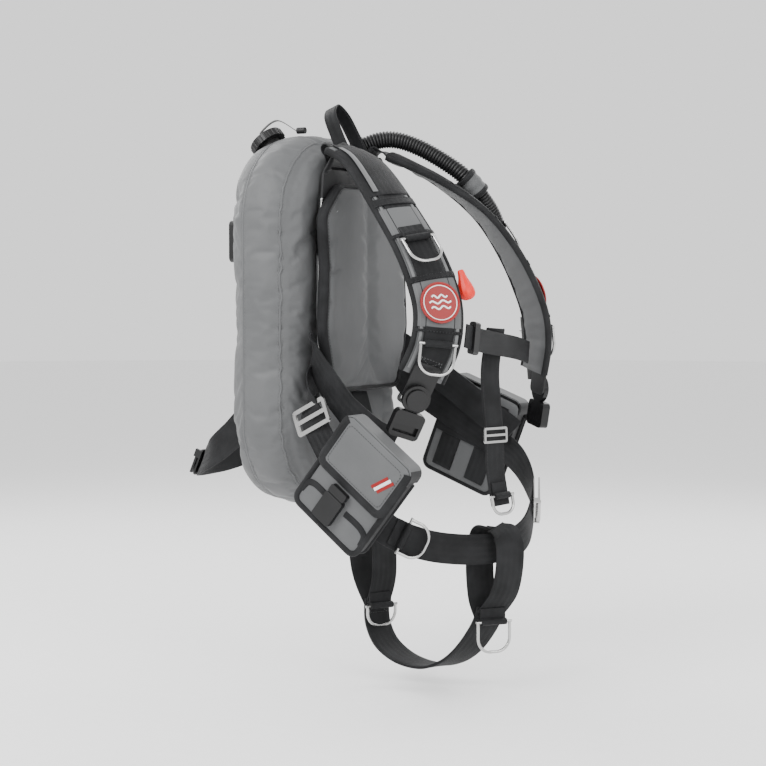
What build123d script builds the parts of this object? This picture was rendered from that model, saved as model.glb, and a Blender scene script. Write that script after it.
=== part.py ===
from build123d import *
from math import pi, radians, tan
import os

# Buoyancy compensator vest: steel backplate, inflated air cell behind it, padded harness in front.
# Millimetres. The wearer faces -Y, the wearer's left is +X, +Z is up.
# Origin: midway between the two cylinder bolt holes, on the plate's rear face.

# Webbing and wire
WEB = 50.0
CHEST_WEB = 38.0
WEB_T = 2.5
GAP = 0.4
WIRE = 5.0
PIN_GAP = 0.06
BAR_STEP = 0.2

# Backplate
PLATE_T = 3.0
PLATE_HALF_W = 125.0
PLATE_TOP = 195.0
PLATE_BOTTOM = -205.0
BOLT_SPACING = 279.4
BOLT_R = 5.5
SLOT_T = 6.0

# Air cell
CELL_HALF_W = 190.0
CELL_TOP = 227.0
CELL_BOTTOM = -398.0
CELL_FRONT = 12.0
CELL_REAR = 156.0
CELL_PANEL_T = 7.0
CELL_EDGE_R = 62.0
WELL_HALF_W = 72.0
WELL_TOP = 120.0
WELL_BOTTOM = -285.0
WELL_EDGE_R = 30.0
COVER_T = 1.6
PORT_R = 20.0

# Pads
PAD_W = 78.0
PAD_T = 14.0
BACK_PAD_T = 18.0
PAD_FACE = PAD_T / 2 + GAP
WEB_TOP = PAD_FACE + WEB_T

# D-rings, their keepers, and the swivel buckles under the shoulder pads
RING_W = 57.0
RING_DROP = 48.0
KEEPER_L = 44.0
KEEPER_H = 5.9
SWIVEL_Z = -166.0
SWIVEL_REACH = 38.0
SWIVEL_PIN_R = 8.0

# Inflator
INFLATOR_L = 92.0
BUTTON_R = 9.0
NIPPLE_R = 4.75
NIPPLE_L = 18.0
NIPPLE_OUT = 18.0
BUTTON_DOWN = (36.0, 72.0)

# Pockets: width, height, depth, wall
POCKET_W = 146.0
POCKET_H = 176.0
POCKET_D = 34.0
POCKET_WALL = 3.0
FLAP_DROP = 98.0
FLAP_T = 3.0
HINGE_IN = 15.5

SIDES = ("right", "left")

# Centre lines of the shoulder pads: a point, and the direction across the pad there.
SHOULDER = {
    "right": [
        ((-85, -20, 196), (0.96, -0.28, 0)),
        ((-92, -60, 178), (0.94, -0.34, 0)),
        ((-105, -97, 146), (0.90, -0.44, 0)),
        ((-125, -151, 86), (0.84, -0.54, 0)),
        ((-140, -196, 29), (0.80, -0.60, 0)),
        ((-150, -227, -26), (0.77, -0.64, 0)),
        ((-154, -240, -72), (0.75, -0.66, 0)),
        ((-156, -235, -122), (0.73, -0.68, 0)),
        ((-158, -212, -170), (0.72, -0.69, 0)),
    ],
    "left": [
        ((85, -20, 194), (0.96, 0.28, 0)),
        ((95, -58, 176), (0.92, 0.39, 0)),
        ((110, -101, 151), (0.85, 0.53, 0)),
        ((130, -146, 116), (0.76, 0.65, 0)),
        ((140, -183, 78), (0.70, 0.71, 0)),
        ((148, -218, 26), (0.64, 0.77, 0)),
        ((153, -244, -26), (0.60, 0.80, 0)),
        ((156, -262, -77), (0.58, 0.81, 0)),
        ((158, -266, -125), (0.58, 0.81, 0)),
        ((160, -258, -172), (0.58, 0.81, 0)),
    ],
}
# Height of each fitting on its shoulder pad
UPPER_RING_Z = {"right": 40, "left": 66}
LOWER_RING_Z = {"right": -118, "left": -100}
BADGE_Z = {"right": -58, "left": -42}

# Webbing from each shoulder buckle back to the plate's side slot
SIDE_STRAP = {
    "right": [
        ((-166, -168, -276), (0.5, -0.4, 0.75)),
        ((-164, -130, -266), (0.2, 0.1, 1)),
        ((-162, -76, -226), (0, 0.4, 0.9)),
        ((-157, -26, -168), (0, 0.3, 1)),
        ((-146, -3, -136), (0, 0, 1)),
        ((-131, -1, -124), (0, 0, 1)),
    ],
    "left": [
        ((165, -216, -280), (0.5, 0.4, 0.75)),
        ((163, -176, -256), (0.2, 0.1, 1)),
        ((161, -106, -206), (0, 0.4, 1)),
        ((157, -34, -158), (0, 0.3, 1)),
        ((146, -3, -134), (0, 0, 1)),
        ((131, -1, -124), (0, 0, 1)),
    ],
}

# Waist belt from the right of the plate, round the front, to the left
WAIST = [
    ((-116, -1, -178), (0, 0, 1)),
    ((-148, 0, -186), (0, 0, 1)),
    ((-170, -10, -216), (0, 0, 1)),
    ((-175, -30, -262), (0, 0, 1)),
    ((-175, -80, -336), (0, 0, 1)),
    ((-160, -140, -410), (0, 0, 1)),
    ((-116, -186, -442), (0, 0, 1)),
    ((-60, -228, -456), (0, 0, 1)),
    ((0, -266, -458), (0, 0, 1)),
    ((45, -290, -444), (0, 0, 1)),
    ((88, -288, -412), (0, 0, 1)),
    ((128, -268, -368), (0, 0, 1)),
    ((160, -222, -322), (0, 0, 1)),
    ((175, -150, -284), (0, 0, 1)),
    ((175, -70, -240), (0, 0, 1)),
    ((170, -16, -206), (0, 0, 1)),
    ((148, 0, -184), (0, 0, 1)),
    ((116, -1, -178), (0, 0, 1)),
]

CENTRE_STRAP = [
    ((0, -262, -96), (0.9, -0.43, 0)),
    ((0, -252, -160), (0.9, -0.43, 0)),
    ((0, -254, -210), (0.9, -0.43, 0)),
    ((0, -260, -270), (0.9, -0.43, 0)),
    ((0, -262, -330), (0.9, -0.43, 0)),
    ((0, -272, -388), (0.9, -0.43, 0)),
]
CHEST_STRAP = [
    ((-116, -268, -106), (0, 0, 1)),
    ((-60, -271, -116), (0, 0, 1)),
    ((60, -271, -130), (0, 0, 1)),
    ((118, -268, -140), (0, 0, 1)),
]

CROTCH_REAR = [
    ((0, 2, -208), (1, 0, 0)),
    ((0, 1, -400), (0.96, -0.28, 0)),
    ((0, -12, -510), (0.9, -0.43, 0)),
    ((0, -36, -566), (0.9, -0.43, 0)),
]
CROTCH_INNER = [
    ((0, -3, -208), (1, 0, 0)),
    ((0, -44, -400), (0.9, -0.43, 0)),
    ((0, -54, -510), (0.9, -0.43, 0)),
    ((0, -42, -566), (0.9, -0.43, 0)),
]
CROTCH_SWEEP = [
    ((0, -39, -560), (0.9, -0.43, 0)),
    ((0, -40, -600), (0.9, -0.43, 0)),
    ((0, -58, -636), (0.9, -0.43, 0)),
    ((0, -96, -660), (0.9, -0.43, 0)),
    ((0, -143, -667), (0.88, -0.47, 0)),
    ((0, -184, -655), (0.85, -0.52, 0)),
    ((0, -218, -628), (0.8, -0.6, 0)),
    ((0, -246, -588), (0.78, -0.62, 0)),
    ((0, -256, -560), (0.78, -0.62, 0)),
]
CROTCH_FRONT = [
    ((0, -252, -572), (0.78, -0.62, 0)),
    ((0, -282, -530), (0.78, -0.62, 0)),
    ((0, -292, -470), (0.78, -0.62, 0)),
    ((0, -284, -434), (0.78, -0.62, 0)),
    ((0, -264, -424), (0.78, -0.62, 0)),
    ((0, -244, -434), (0.78, -0.62, 0)),
    ((0, -236, -480), (0.78, -0.62, 0)),
    ((0, -240, -540), (0.78, -0.62, 0)),
    ((0, -252, -572), (0.78, -0.62, 0)),
]

# Half of each band that holds the cylinder, from the plate back to the middle
LOWER_BAND = [
    ((56, 24, -170), (0, -0.3, 0.95)),
    ((55, 110, -202), (0, -0.35, 0.94)),
    ((56, 165, -238), (0, -0.4, 0.9)),
    ((60, 215, -284), (0, -0.4, 0.9)),
    ((56, 266, -322), (0, -0.4, 0.9)),
    ((36, 300, -340), (0, -0.4, 0.9)),
    ((14, 311, -345), (0, -0.4, 0.9)),
]
UPPER_BAND = [
    ((58, 24, 52), (0, 0, 1)),
    ((60, 120, 52), (0, 0, 1)),
    ((56, 180, 52), (0, 0, 1)),
    ((40, 222, 52), (0, 0, 1)),
    ((14, 237, 52), (0, 0, 1)),
]

# Inflator hose: from the elbow on the air cell over the left shoulder
HOSE_D = 30.0
HOSE = [
    (64, 20, 217),
    (70, 2, 226),
    (84, -30, 227),
    (100, -64, 214),
    (116, -100, 192),
    (133, -136, 165),
    (158, -158, 128),
    (187, -169, 93),
    (197, -176, 54),
    (201, -196, 12),
    (204, -216, -28),
    (206, -227, -64),
]


def unit_across(width, along):
    """The part of a width direction that is square to the way a band runs."""
    across = Vector(*width)
    return (across - along * across.dot(along)).normalized()


def station(point, width, along):
    """The plane of one cut through a band: x across it, y out of its face, z along it."""
    along = along.normalized()
    return Plane(Vector(*point), x_dir=unit_across(width, along), z_dir=along)


def stations(route):
    """The planes of every cut through a route of (point, width direction) pairs."""
    points = [Vector(*point) for point, width in route]
    planes = []
    for i, (point, width) in enumerate(route):
        ahead = points[min(i + 1, len(points) - 1)]
        behind = points[max(i - 1, 0)]
        planes.append(station(point, width, ahead - behind))
    return planes


def seat(route, height, lift=0.0):
    """The plane where a route passes a height, moved out along the band's face by lift."""
    for (low, low_width), (high, high_width) in zip(route, route[1:]):
        if min(low[2], high[2]) <= height <= max(low[2], high[2]):
            share = (height - low[2]) / (high[2] - low[2])
            start, end = Vector(*low), Vector(*high)
            width = Vector(*low_width) * (1 - share) + Vector(*high_width) * share
            plane = station(tuple(start + (end - start) * share), tuple(width), end - start)
            return plane.offset(0) if lift == 0 else shifted(plane, lift)
    raise ValueError(f"the route does not pass {height}")


def shifted(plane, out, across=0.0, along=0.0):
    """A plane moved out of its band's face, across the band and along it."""
    origin = plane.origin + plane.y_dir * out + plane.x_dir * across + plane.z_dir * along
    return Plane(origin, x_dir=plane.x_dir, z_dir=plane.z_dir)


def facing(plane):
    """The plane that lies on a band's face: x across the band, y along it, z into it."""
    return Plane(plane.origin, x_dir=plane.x_dir, z_dir=plane.y_dir * -1)


def outward(plane):
    """The plane that lies on a band's face: x across the band, z straight out of it."""
    return Plane(plane.origin, x_dir=plane.x_dir, z_dir=plane.y_dir)


def band(route, width, thickness, lift=0.0):
    """A flat band lofted through a route."""
    sections = []
    for plane in stations(route):
        with BuildSketch(plane) as section:
            with Locations((0, lift)):
                Rectangle(width, thickness)
        sections.append(section.sketch)
    loft(sections, ruled=True)


def whole(half):
    """A band's whole route from one half of it."""
    other = [((-x, y, z), width) for (x, y, z), width in reversed(half)]
    return half + other


def d_ring(plane, width, drop, wire):
    """A ring of bent wire: a straight bar along the plane's x and a bow that hangs along its y."""
    half = width / 2
    bend = half * 0.8
    with BuildLine(plane) as bow:
        FilletPolyline((-half, 0), (-half, drop), (half, drop), (half, 0), radius=bend)
    with BuildSketch(Plane(bow.line @ 0, z_dir=bow.line % 0)) as bow_end:
        Circle(wire / 2)
    sweep(bow_end.sketch, path=bow.line)
    with BuildSketch(shifted_along_x(plane, -half - wire / 2 - 1)) as bar_end:
        Circle(wire / 2 - BAR_STEP)
    extrude(bar_end.sketch, amount=width + wire + 2)


def shifted_along_x(plane, distance):
    """A plane square to another plane's x, at a distance along it."""
    return Plane(plane.origin + plane.x_dir * distance, x_dir=plane.y_dir, z_dir=plane.x_dir)


def keeper(plane, length, wire, foot):
    """A rolled webbing keeper round a ring's bar, with the foot that is sewn down behind it."""
    roll_r = wire / 2 + 3
    with BuildSketch(shifted_along_x(plane, -length / 2)) as profile:
        Circle(roll_r)
        with Locations((-foot / 2, roll_r - 1.5)):
            Rectangle(foot, 3)
        Circle(wire / 2 - BAR_STEP + PIN_GAP, mode=Mode.SUBTRACT)
    extrude(profile.sketch, amount=length)


def hanging(point, width):
    """The plane of a ring that hangs straight down from a bar: x along the bar, y down."""
    across = Vector(*width).normalized()
    return Plane(Vector(*point), x_dir=across, z_dir=across.cross(Vector(0, 0, -1)))


def slider(plane, width, height, thickness, rim):
    """A flat wire frame with a middle bar, lying on a band's face."""
    with BuildSketch(plane) as frame:
        RectangleRounded(width, height, rim)
        with GridLocations(0, (height - rim) / 2, 1, 2):
            Rectangle(width - 2 * rim, (height - 3 * rim) / 2, mode=Mode.SUBTRACT)
    extrude(frame.sketch, amount=thickness)


def save(piece, name):
    """Label a finished piece and write it."""
    piece.part.label = name
    export_step(piece.part, f"parts/{name}.step")


os.makedirs("parts", exist_ok=True)

# Bar of each ring, with the wire's bow hanging along the plane's y
CENTRE_TOP = WEB_T + 2 + GAP
BELT_FACE = WEB_T / 2 + 2.2
CENTRE_RING_PLANE = facing(seat(CENTRE_STRAP, -372, CENTRE_TOP + KEEPER_H))
WAIST_RING_PLANE = facing(seat(WAIST, -428, BELT_FACE + KEEPER_H))
REAR_RING_PLANE = hanging((-5, -51, -572), (0.9, -0.43, 0))
FRONT_RING_PLANE = hanging((-7, -266, -580), (0.78, -0.62, 0))

# ---------------------------------------------------------------- backplate
with BuildPart() as backplate:
    with BuildSketch(Plane.XZ) as plate_outline:
        with BuildLine():
            Polyline(
                (-76, PLATE_TOP), (76, PLATE_TOP), (112, 158), (PLATE_HALF_W, 60), (PLATE_HALF_W, -150),
                (96, PLATE_BOTTOM), (-96, PLATE_BOTTOM), (-PLATE_HALF_W, -150), (-PLATE_HALF_W, 60),
                (-112, 158), close=True,
            )
        make_face()
        fillet(plate_outline.vertices(), radius=10)
        with GridLocations(0, BOLT_SPACING, 1, 2):
            Circle(BOLT_R, mode=Mode.SUBTRACT)
        with Locations((-62, 168), (62, 168)):
            SlotOverall(WEB + 6, SLOT_T, mode=Mode.SUBTRACT)
        with Locations((-112, -124), (112, -124), (-98, -176), (98, -176)):
            SlotOverall(WEB - 2, SLOT_T, rotation=90, mode=Mode.SUBTRACT)
        with Locations((0, -188)):
            SlotOverall(WEB + 6, SLOT_T, mode=Mode.SUBTRACT)
        with Locations((-62, 52), (62, 52), (-62, -60), (62, -60)):
            SlotOverall(WEB + 6, SLOT_T, rotation=90, mode=Mode.SUBTRACT)
    extrude(amount=PLATE_T)
save(backplate, "backplate")

# ---------------------------------------------------------------- air cell
def cell_solid(inset):
    """The inflated ring of the air cell with its thin middle panel, every face moved in by inset."""
    height = CELL_TOP - CELL_BOTTOM - 2 * inset
    middle = (CELL_TOP + CELL_BOTTOM) / 2
    well_height = WELL_TOP - WELL_BOTTOM + 2 * inset
    well_middle = (WELL_TOP + WELL_BOTTOM) / 2
    depth = CELL_REAR - CELL_FRONT - 2 * inset
    front = Plane.XZ.offset(-CELL_FRONT - inset)
    with BuildSketch(front) as outline:
        with Locations((0, middle)):
            RectangleRounded(2 * (CELL_HALF_W - inset), height, 150 - inset)
        with Locations((0, well_middle)):
            RectangleRounded(2 * (WELL_HALF_W + inset), well_height, 60 + inset, mode=Mode.SUBTRACT)
    extrude(outline.sketch, amount=-depth)
    rims = edges().filter_by(Plane.XZ)
    fillet([edge for edge in rims if beyond_well(edge)], radius=CELL_EDGE_R - inset)
    fillet([edge for edge in rims if not beyond_well(edge)], radius=WELL_EDGE_R)


def beyond_well(edge):
    """Whether an edge belongs to the air cell's outer outline."""
    middle = edge @ 0.5
    inside_x = abs(middle.X) < WELL_HALF_W + 6
    inside_z = WELL_BOTTOM - 6 < middle.Z < WELL_TOP + 6
    return not (inside_x and inside_z)


VALVE_AXIS = Vector(0, 0.65, 0.76)
VALVE_SEAT = Plane((-62, 134, 210), x_dir=(1, 0, 0), z_dir=VALVE_AXIS)
ELBOW_SEAT = Plane((64, 30, 207), x_dir=(1, 0, 0), z_dir=(0, -0.7, 0.714))

with BuildPart() as inner_bladder:
    cell_solid(COVER_T + GAP)
    for valve in (VALVE_SEAT, ELBOW_SEAT):
        with BuildSketch(valve.offset(-40)) as port:
            Circle(PORT_R)
        extrude(port.sketch, amount=80, mode=Mode.SUBTRACT)
save(inner_bladder, "inner_bladder")

with BuildPart() as cover_cavity:
    cell_solid(COVER_T)

with BuildPart() as air_cell_cover:
    cell_solid(0)
    with BuildSketch(Plane.XZ.offset(-CELL_FRONT - 1)) as middle_panel:
        with Locations((0, (WELL_TOP + WELL_BOTTOM) / 2)):
            Rectangle(2 * WELL_HALF_W + 76, WELL_TOP - WELL_BOTTOM + 76)
    extrude(middle_panel.sketch, amount=4)
    add(cover_cavity.part, mode=Mode.SUBTRACT)
    with BuildSketch(Plane.XZ.offset(-CELL_FRONT - 2)) as panel_holes:
        with GridLocations(0, BOLT_SPACING, 1, 2):
            Circle(BOLT_R + 3)
        with Locations((-58, 52), (58, 52), (-58, -188), (58, -188)):
            SlotOverall(WEB + 12, 12, rotation=90)
    extrude(panel_holes.sketch, amount=10, mode=Mode.SUBTRACT)
    for valve in (VALVE_SEAT, ELBOW_SEAT):
        with BuildSketch(valve.offset(-40)) as port:
            Circle(PORT_R)
        extrude(port.sketch, amount=80, mode=Mode.SUBTRACT)
save(air_cell_cover, "air_cell_cover")

# ---------------------------------------------------------------- dump valve on the air cell
with BuildPart() as dump_valve_body:
    with BuildSketch(VALVE_SEAT.offset(4)) as flange:
        Circle(30)
        Circle(6, mode=Mode.SUBTRACT)
    extrude(flange.sketch, amount=14)
    with BuildSketch(VALVE_SEAT.offset(4)) as neck:
        Circle(PORT_R - 1)
        Circle(6, mode=Mode.SUBTRACT)
    extrude(neck.sketch, amount=-16)
    with BuildSketch(VALVE_SEAT.offset(4)) as ribs:
        with PolarLocations(30, 24):
            Circle(1.4)
    extrude(ribs.sketch, amount=12)
save(dump_valve_body, "dump_valve_body")

with BuildPart() as dump_valve_stem:
    with BuildSketch(VALVE_SEAT.offset(-10)) as rod:
        Circle(4)
    extrude(rod.sketch, amount=30)
    with BuildSketch(VALVE_SEAT.offset(19)) as knob:
        Circle(10)
    extrude(knob.sketch, amount=4)
save(dump_valve_stem, "dump_valve_stem")

TOGGLE_SEAT = Plane((-56, 84, 236), x_dir=(1, 0, 0), z_dir=(0, -1, 0))
with BuildPart() as dump_toggle:
    with BuildSketch(TOGGLE_SEAT) as toggle_end:
        Circle(5.5)
    extrude(toggle_end.sketch, amount=15)
save(dump_toggle, "dump_toggle")

PULL_CORD = [
    tuple(VALVE_SEAT.origin + VALVE_AXIS * 32),
    tuple(VALVE_SEAT.origin + VALVE_AXIS * 26 - VALVE_SEAT.y_dir * 38),
    tuple(TOGGLE_SEAT.origin - TOGGLE_SEAT.z_dir * 2),
]
with BuildPart() as dump_pull_cord:
    with BuildLine() as cord_line:
        FilletPolyline(*PULL_CORD, radius=8)
    with BuildSketch(Plane(cord_line.line @ 0, z_dir=cord_line.line % 0)) as cord_end:
        Circle(1.5)
    sweep(cord_end.sketch, path=cord_line.line)
save(dump_pull_cord, "dump_pull_cord")

# ---------------------------------------------------------------- inflator
def corner_radii(route):
    """The arc at each corner: 0.45 of the shorter run over the tangent of half the turn."""
    radii = []
    for before, corner, after in zip(route, route[1:], route[2:]):
        run_in, run_out = Vector(*corner) - Vector(*before), Vector(*after) - Vector(*corner)
        half_turn = radians(run_in.get_angle(run_out)) / 2
        radii.append(0.45 * min(run_in.length, run_out.length) / tan(half_turn))
    return radii


HOSE_RADII = corner_radii(HOSE)
with BuildPart() as corrugated_hose:
    with BuildLine() as hose_line:
        FilletPolyline(*HOSE, radius=HOSE_RADII)
    with BuildSketch(Plane(hose_line.line @ 0, z_dir=hose_line.line % 0)) as hose_end:
        Circle(HOSE_D / 2)
    sweep(hose_end.sketch, path=hose_line.line)
save(corrugated_hose, "corrugated_hose")
HOSE_LENGTH = sum(edge.length for edge in hose_line.edges())
HOSE_SECTION = pi * HOSE_D**2 / 4
print("hose radii", [round(r) for r in HOSE_RADII], "length", round(HOSE_LENGTH))
hose_volume = corrugated_hose.part.volume
print("hose volume over section times length", round(hose_volume / HOSE_SECTION / HOSE_LENGTH, 4))

HOSE_START = Plane(hose_line.line @ 0, x_dir=(1, 0, 0), z_dir=hose_line.line % 0)
with BuildPart() as hose_elbow:
    with BuildSketch(ELBOW_SEAT.offset(-8)) as elbow_neck:
        Circle(PORT_R - 1)
    extrude(elbow_neck.sketch, amount=10)
    with BuildSketch(ELBOW_SEAT.offset(1)) as elbow_flange:
        Circle(27)
    extrude(elbow_flange.sketch, amount=6)
    with BuildSketch(ELBOW_SEAT.offset(6)) as elbow_root:
        Circle(17)
    with BuildSketch(HOSE_START.offset(-GAP)) as spout:
        Circle(17)
    loft([elbow_root.sketch, spout.sketch])
save(hose_elbow, "hose_elbow")

HOSE_END = Plane(hose_line.line @ 1, x_dir=(0.5, 0.8, 0), z_dir=hose_line.line % 1)
INFLATOR = Plane(HOSE_END.origin + HOSE_END.z_dir * 4, x_dir=(0.58, 0.81, 0), z_dir=(0.04, -0.08, -0.99))


def on_inflator(down, out):
    """A plane on the inflator, facing out of its button side, down from its top."""
    return Plane(INFLATOR.origin + INFLATOR.z_dir * down + INFLATOR.y_dir * out, x_dir=INFLATOR.x_dir,
                 z_dir=INFLATOR.y_dir)


def inflator_side(out):
    """A plane on the inflator's outer side, level with its upper button, facing out of that side."""
    level = INFLATOR.origin + INFLATOR.z_dir * BUTTON_DOWN[0]
    return Plane(level + INFLATOR.x_dir * out, x_dir=INFLATOR.y_dir, z_dir=INFLATOR.x_dir)


with BuildPart() as inflator_body:
    with BuildSketch(INFLATOR) as neck:
        Circle(15)
    extrude(neck.sketch, amount=14)
    with BuildSketch(INFLATOR.offset(12)) as grip:
        RectangleRounded(30, 32, 9)
    extrude(grip.sketch, amount=INFLATOR_L - 12)
    for down in BUTTON_DOWN:
        with BuildSketch(on_inflator(down, 18)) as button_well:
            Circle(BUTTON_R + GAP)
        extrude(button_well.sketch, amount=-9, mode=Mode.SUBTRACT)
    with BuildSketch(inflator_side(17)) as port:
        Circle(9)
    extrude(port.sketch, amount=-6, mode=Mode.SUBTRACT)
save(inflator_body, "inflator_body")

for down, name in zip(BUTTON_DOWN, ("inflate_button", "deflate_button")):
    with BuildPart() as button:
        with BuildSketch(on_inflator(down, 13)) as shaft:
            Circle(BUTTON_R)
        extrude(shaft.sketch, amount=9)
    save(button, name)

with BuildPart() as mouthpiece:
    with BuildSketch(INFLATOR.offset(INFLATOR_L + GAP)) as collar:
        Circle(13)
    extrude(collar.sketch, amount=10)
    with BuildSketch(INFLATOR.offset(INFLATOR_L + 8)) as bite:
        RectangleRounded(34, 20, 8)
    extrude(bite.sketch, amount=22)
    with BuildSketch(INFLATOR.offset(INFLATOR_L + 12)) as airway:
        RectangleRounded(22, 9, 4)
    extrude(airway.sketch, amount=30, mode=Mode.SUBTRACT)
save(mouthpiece, "mouthpiece")

with BuildPart() as inlet_nipple:
    with BuildSketch(inflator_side(11 + GAP)) as nipple_seat:
        Circle(8)
    extrude(nipple_seat.sketch, amount=7)
    with BuildSketch(inflator_side(NIPPLE_OUT)) as nipple:
        Circle(NIPPLE_R)
    extrude(nipple.sketch, amount=NIPPLE_L)
save(inlet_nipple, "inlet_nipple")

# ---------------------------------------------------------------- back pad, handle, screws
with BuildPart() as back_pad:
    with BuildSketch(Plane.XZ.offset(PLATE_T + GAP)) as pad_outline:
        with BuildLine():
            Polyline(
                (-84, 138), (84, 138), (134, 88), (126, 0), (134, -100), (106, -200), (-106, -200),
                (-134, -100), (-126, 0), (-134, 88), close=True,
            )
        make_face()
        fillet(pad_outline.vertices(), radius=16)
    extrude(amount=BACK_PAD_T)
    with BuildSketch(Plane.XZ.offset(PLATE_T)) as bolt_recess:
        with GridLocations(0, BOLT_SPACING, 1, 2):
            Circle(BOLT_R + 6)
    extrude(bolt_recess.sketch, amount=8, mode=Mode.SUBTRACT)
    with BuildSketch(Plane.XZ.offset(PLATE_T)) as screw_holes:
        with Locations((-100, 88), (100, 88)):
            Circle(4)
    extrude(screw_holes.sketch, amount=BACK_PAD_T + 2, mode=Mode.SUBTRACT)
save(back_pad, "back_pad")

with BuildPart() as pad_screws:
    with BuildSketch(Plane.XZ.offset(PLATE_T + GAP)) as shanks:
        with Locations((-100, 88), (100, 88)):
            Circle(3.5)
    extrude(shanks.sketch, amount=BACK_PAD_T + GAP)
    with BuildSketch(Plane.XZ.offset(PLATE_T + BACK_PAD_T + 2 * GAP)) as heads:
        with Locations((-100, 88), (100, 88)):
            Circle(9)
    extrude(heads.sketch, amount=3)
save(pad_screws, "pad_screws")

HANDLE = [
    ((30, 7, 197), (0, 1, -0.4)),
    ((28, 24, 230), (0, 1, -0.4)),
    ((22, 40, 262), (0, 1, -0.4)),
    ((0, 47, 278), (0, 1, -0.4)),
    ((-22, 40, 262), (0, 1, -0.4)),
    ((-28, 24, 230), (0, 1, -0.4)),
    ((-30, 7, 197), (0, 1, -0.4)),
]
with BuildPart() as carry_handle:
    band(HANDLE, 25, WEB_T)
save(carry_handle, "carry_handle")

# ---------------------------------------------------------------- shoulder harness
for side in SIDES:
    route = SHOULDER[side]
    with BuildPart() as shoulder_pad:
        band(route, PAD_W, PAD_T)
    save(shoulder_pad, f"{side}_shoulder_pad")
    with BuildPart() as shoulder_webbing:
        band(route, WEB, WEB_T, lift=PAD_FACE + WEB_T / 2)
    save(shoulder_webbing, f"{side}_shoulder_webbing")

with BuildPart() as ring_keepers:
    for side in SIDES:
        for height in (UPPER_RING_Z[side], LOWER_RING_Z[side]):
            roll = seat(SHOULDER[side], height, WEB_TOP + KEEPER_H)
            keeper(facing(roll), KEEPER_L, WIRE, 26)
    keeper(CENTRE_RING_PLANE, 30, WIRE, 22)
    keeper(WAIST_RING_PLANE, KEEPER_L, WIRE, 20)
    keeper(REAR_RING_PLANE, KEEPER_L, WIRE, 22)
    keeper(FRONT_RING_PLANE, KEEPER_L, WIRE, 22)
save(ring_keepers, "ring_keepers")

for side in SIDES:
    for level, height in (("upper", UPPER_RING_Z[side]), ("lower", LOWER_RING_Z[side])):
        with BuildPart() as shoulder_ring:
            d_ring(facing(seat(SHOULDER[side], height, WEB_TOP + KEEPER_H)), RING_W, RING_DROP, WIRE)
        save(shoulder_ring, f"{side}_{level}_ring")

with BuildPart() as shoulder_badges:
    for side in SIDES:
        with BuildSketch(outward(seat(SHOULDER[side], BADGE_Z[side], WEB_TOP + 1.5))) as badge:
            Circle(33)
        extrude(badge.sketch, amount=2.5)
save(shoulder_badges, "shoulder_badges")

# Sleeve that straps the hose to the left shoulder pad
SLEEVE_PLANE = Plane((138, -140.4, 157.6), x_dir=(0.9, 0.4, 0), z_dir=(25, -22, -37))
with BuildPart() as hose_sleeve:
    with BuildSketch(SLEEVE_PLANE) as sleeve_ring:
        Circle(HOSE_D / 2 + 3.5)
        Circle(HOSE_D / 2 + 1.5, mode=Mode.SUBTRACT)
    extrude(sleeve_ring.sketch, amount=30)
save(hose_sleeve, "hose_sleeve")

# Red pull knob at the inner edge of the right shoulder pad
KNOB = Plane((-103, -252, -2), x_dir=(1, 0, 0), z_dir=(0.02, -0.3, -0.95))
with BuildPart() as pull_knob:
    for reach, radius in ((0, 5), (14, 7), (30, 12), (40, 13), (48, 8)):
        with BuildSketch(KNOB.offset(reach)):
            Circle(radius)
    loft()
save(pull_knob, "pull_knob")

# ---------------------------------------------------------------- swivel buckles under the shoulder pads
for side in SIDES:
    tongue_end = seat(SHOULDER[side], SWIVEL_Z, WEB_TOP + GAP)
    tongue_face = outward(tongue_end)
    pivot_face = outward(shifted(tongue_end, 0, along=SWIVEL_REACH))
    with BuildPart() as swivel_plate:
        with BuildSketch(tongue_face) as tongue:
            with Locations((0, 6 - SWIVEL_REACH / 2)):
                RectangleRounded(46, SWIVEL_REACH + 28, 10)
        extrude(tongue.sketch, amount=3)
        with BuildSketch(pivot_face) as pivot:
            Circle(SWIVEL_PIN_R)
        extrude(pivot.sketch, amount=13)
        with BuildSketch(pivot_face.offset(12)) as cap:
            Circle(17)
        extrude(cap.sketch, amount=3)
    save(swivel_plate, f"{side}_swivel_plate")
    with BuildPart() as buckle_housing:
        with BuildSketch(pivot_face.offset(3 + GAP)) as swivel_ring:
            Circle(23)
            Circle(SWIVEL_PIN_R + PIN_GAP, mode=Mode.SUBTRACT)
        extrude(swivel_ring.sketch, amount=8)
        with BuildSketch(pivot_face.offset(3 + GAP)) as block:
            with Locations((0, -43)):
                RectangleRounded(52, 44, 8)
            Circle(21, mode=Mode.SUBTRACT)
        extrude(block.sketch, amount=14)
        with BuildSketch(pivot_face.offset(10)) as web_slot:
            with Locations((0, -50)):
                Rectangle(42, 14)
        extrude(web_slot.sketch, amount=20, mode=Mode.SUBTRACT)
    save(buckle_housing, f"{side}_buckle_housing")

with BuildPart() as side_straps:
    for side in SIDES:
        band(SIDE_STRAP[side], WEB, WEB_T)
save(side_straps, "side_straps")

# ---------------------------------------------------------------- chest and centre straps
with BuildPart() as chest_strap:
    band(CHEST_STRAP, CHEST_WEB, WEB_T)
save(chest_strap, "chest_strap")

SLIDER_SEAT = seat(CHEST_STRAP, -111)
with BuildPart() as chest_slider:
    with BuildSketch(shifted(SLIDER_SEAT, 0, along=-8)) as slider_frame:
        RectangleRounded(CHEST_WEB + 14, 12, 4)
        Rectangle(CHEST_WEB + 2, WEB_T + 2, mode=Mode.SUBTRACT)
    extrude(slider_frame.sketch, amount=16)
save(chest_slider, "chest_slider")

with BuildPart() as centre_strap:
    band(CENTRE_STRAP, CHEST_WEB, WEB_T, lift=WEB_T / 2 + 2)
save(centre_strap, "centre_strap")

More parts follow.
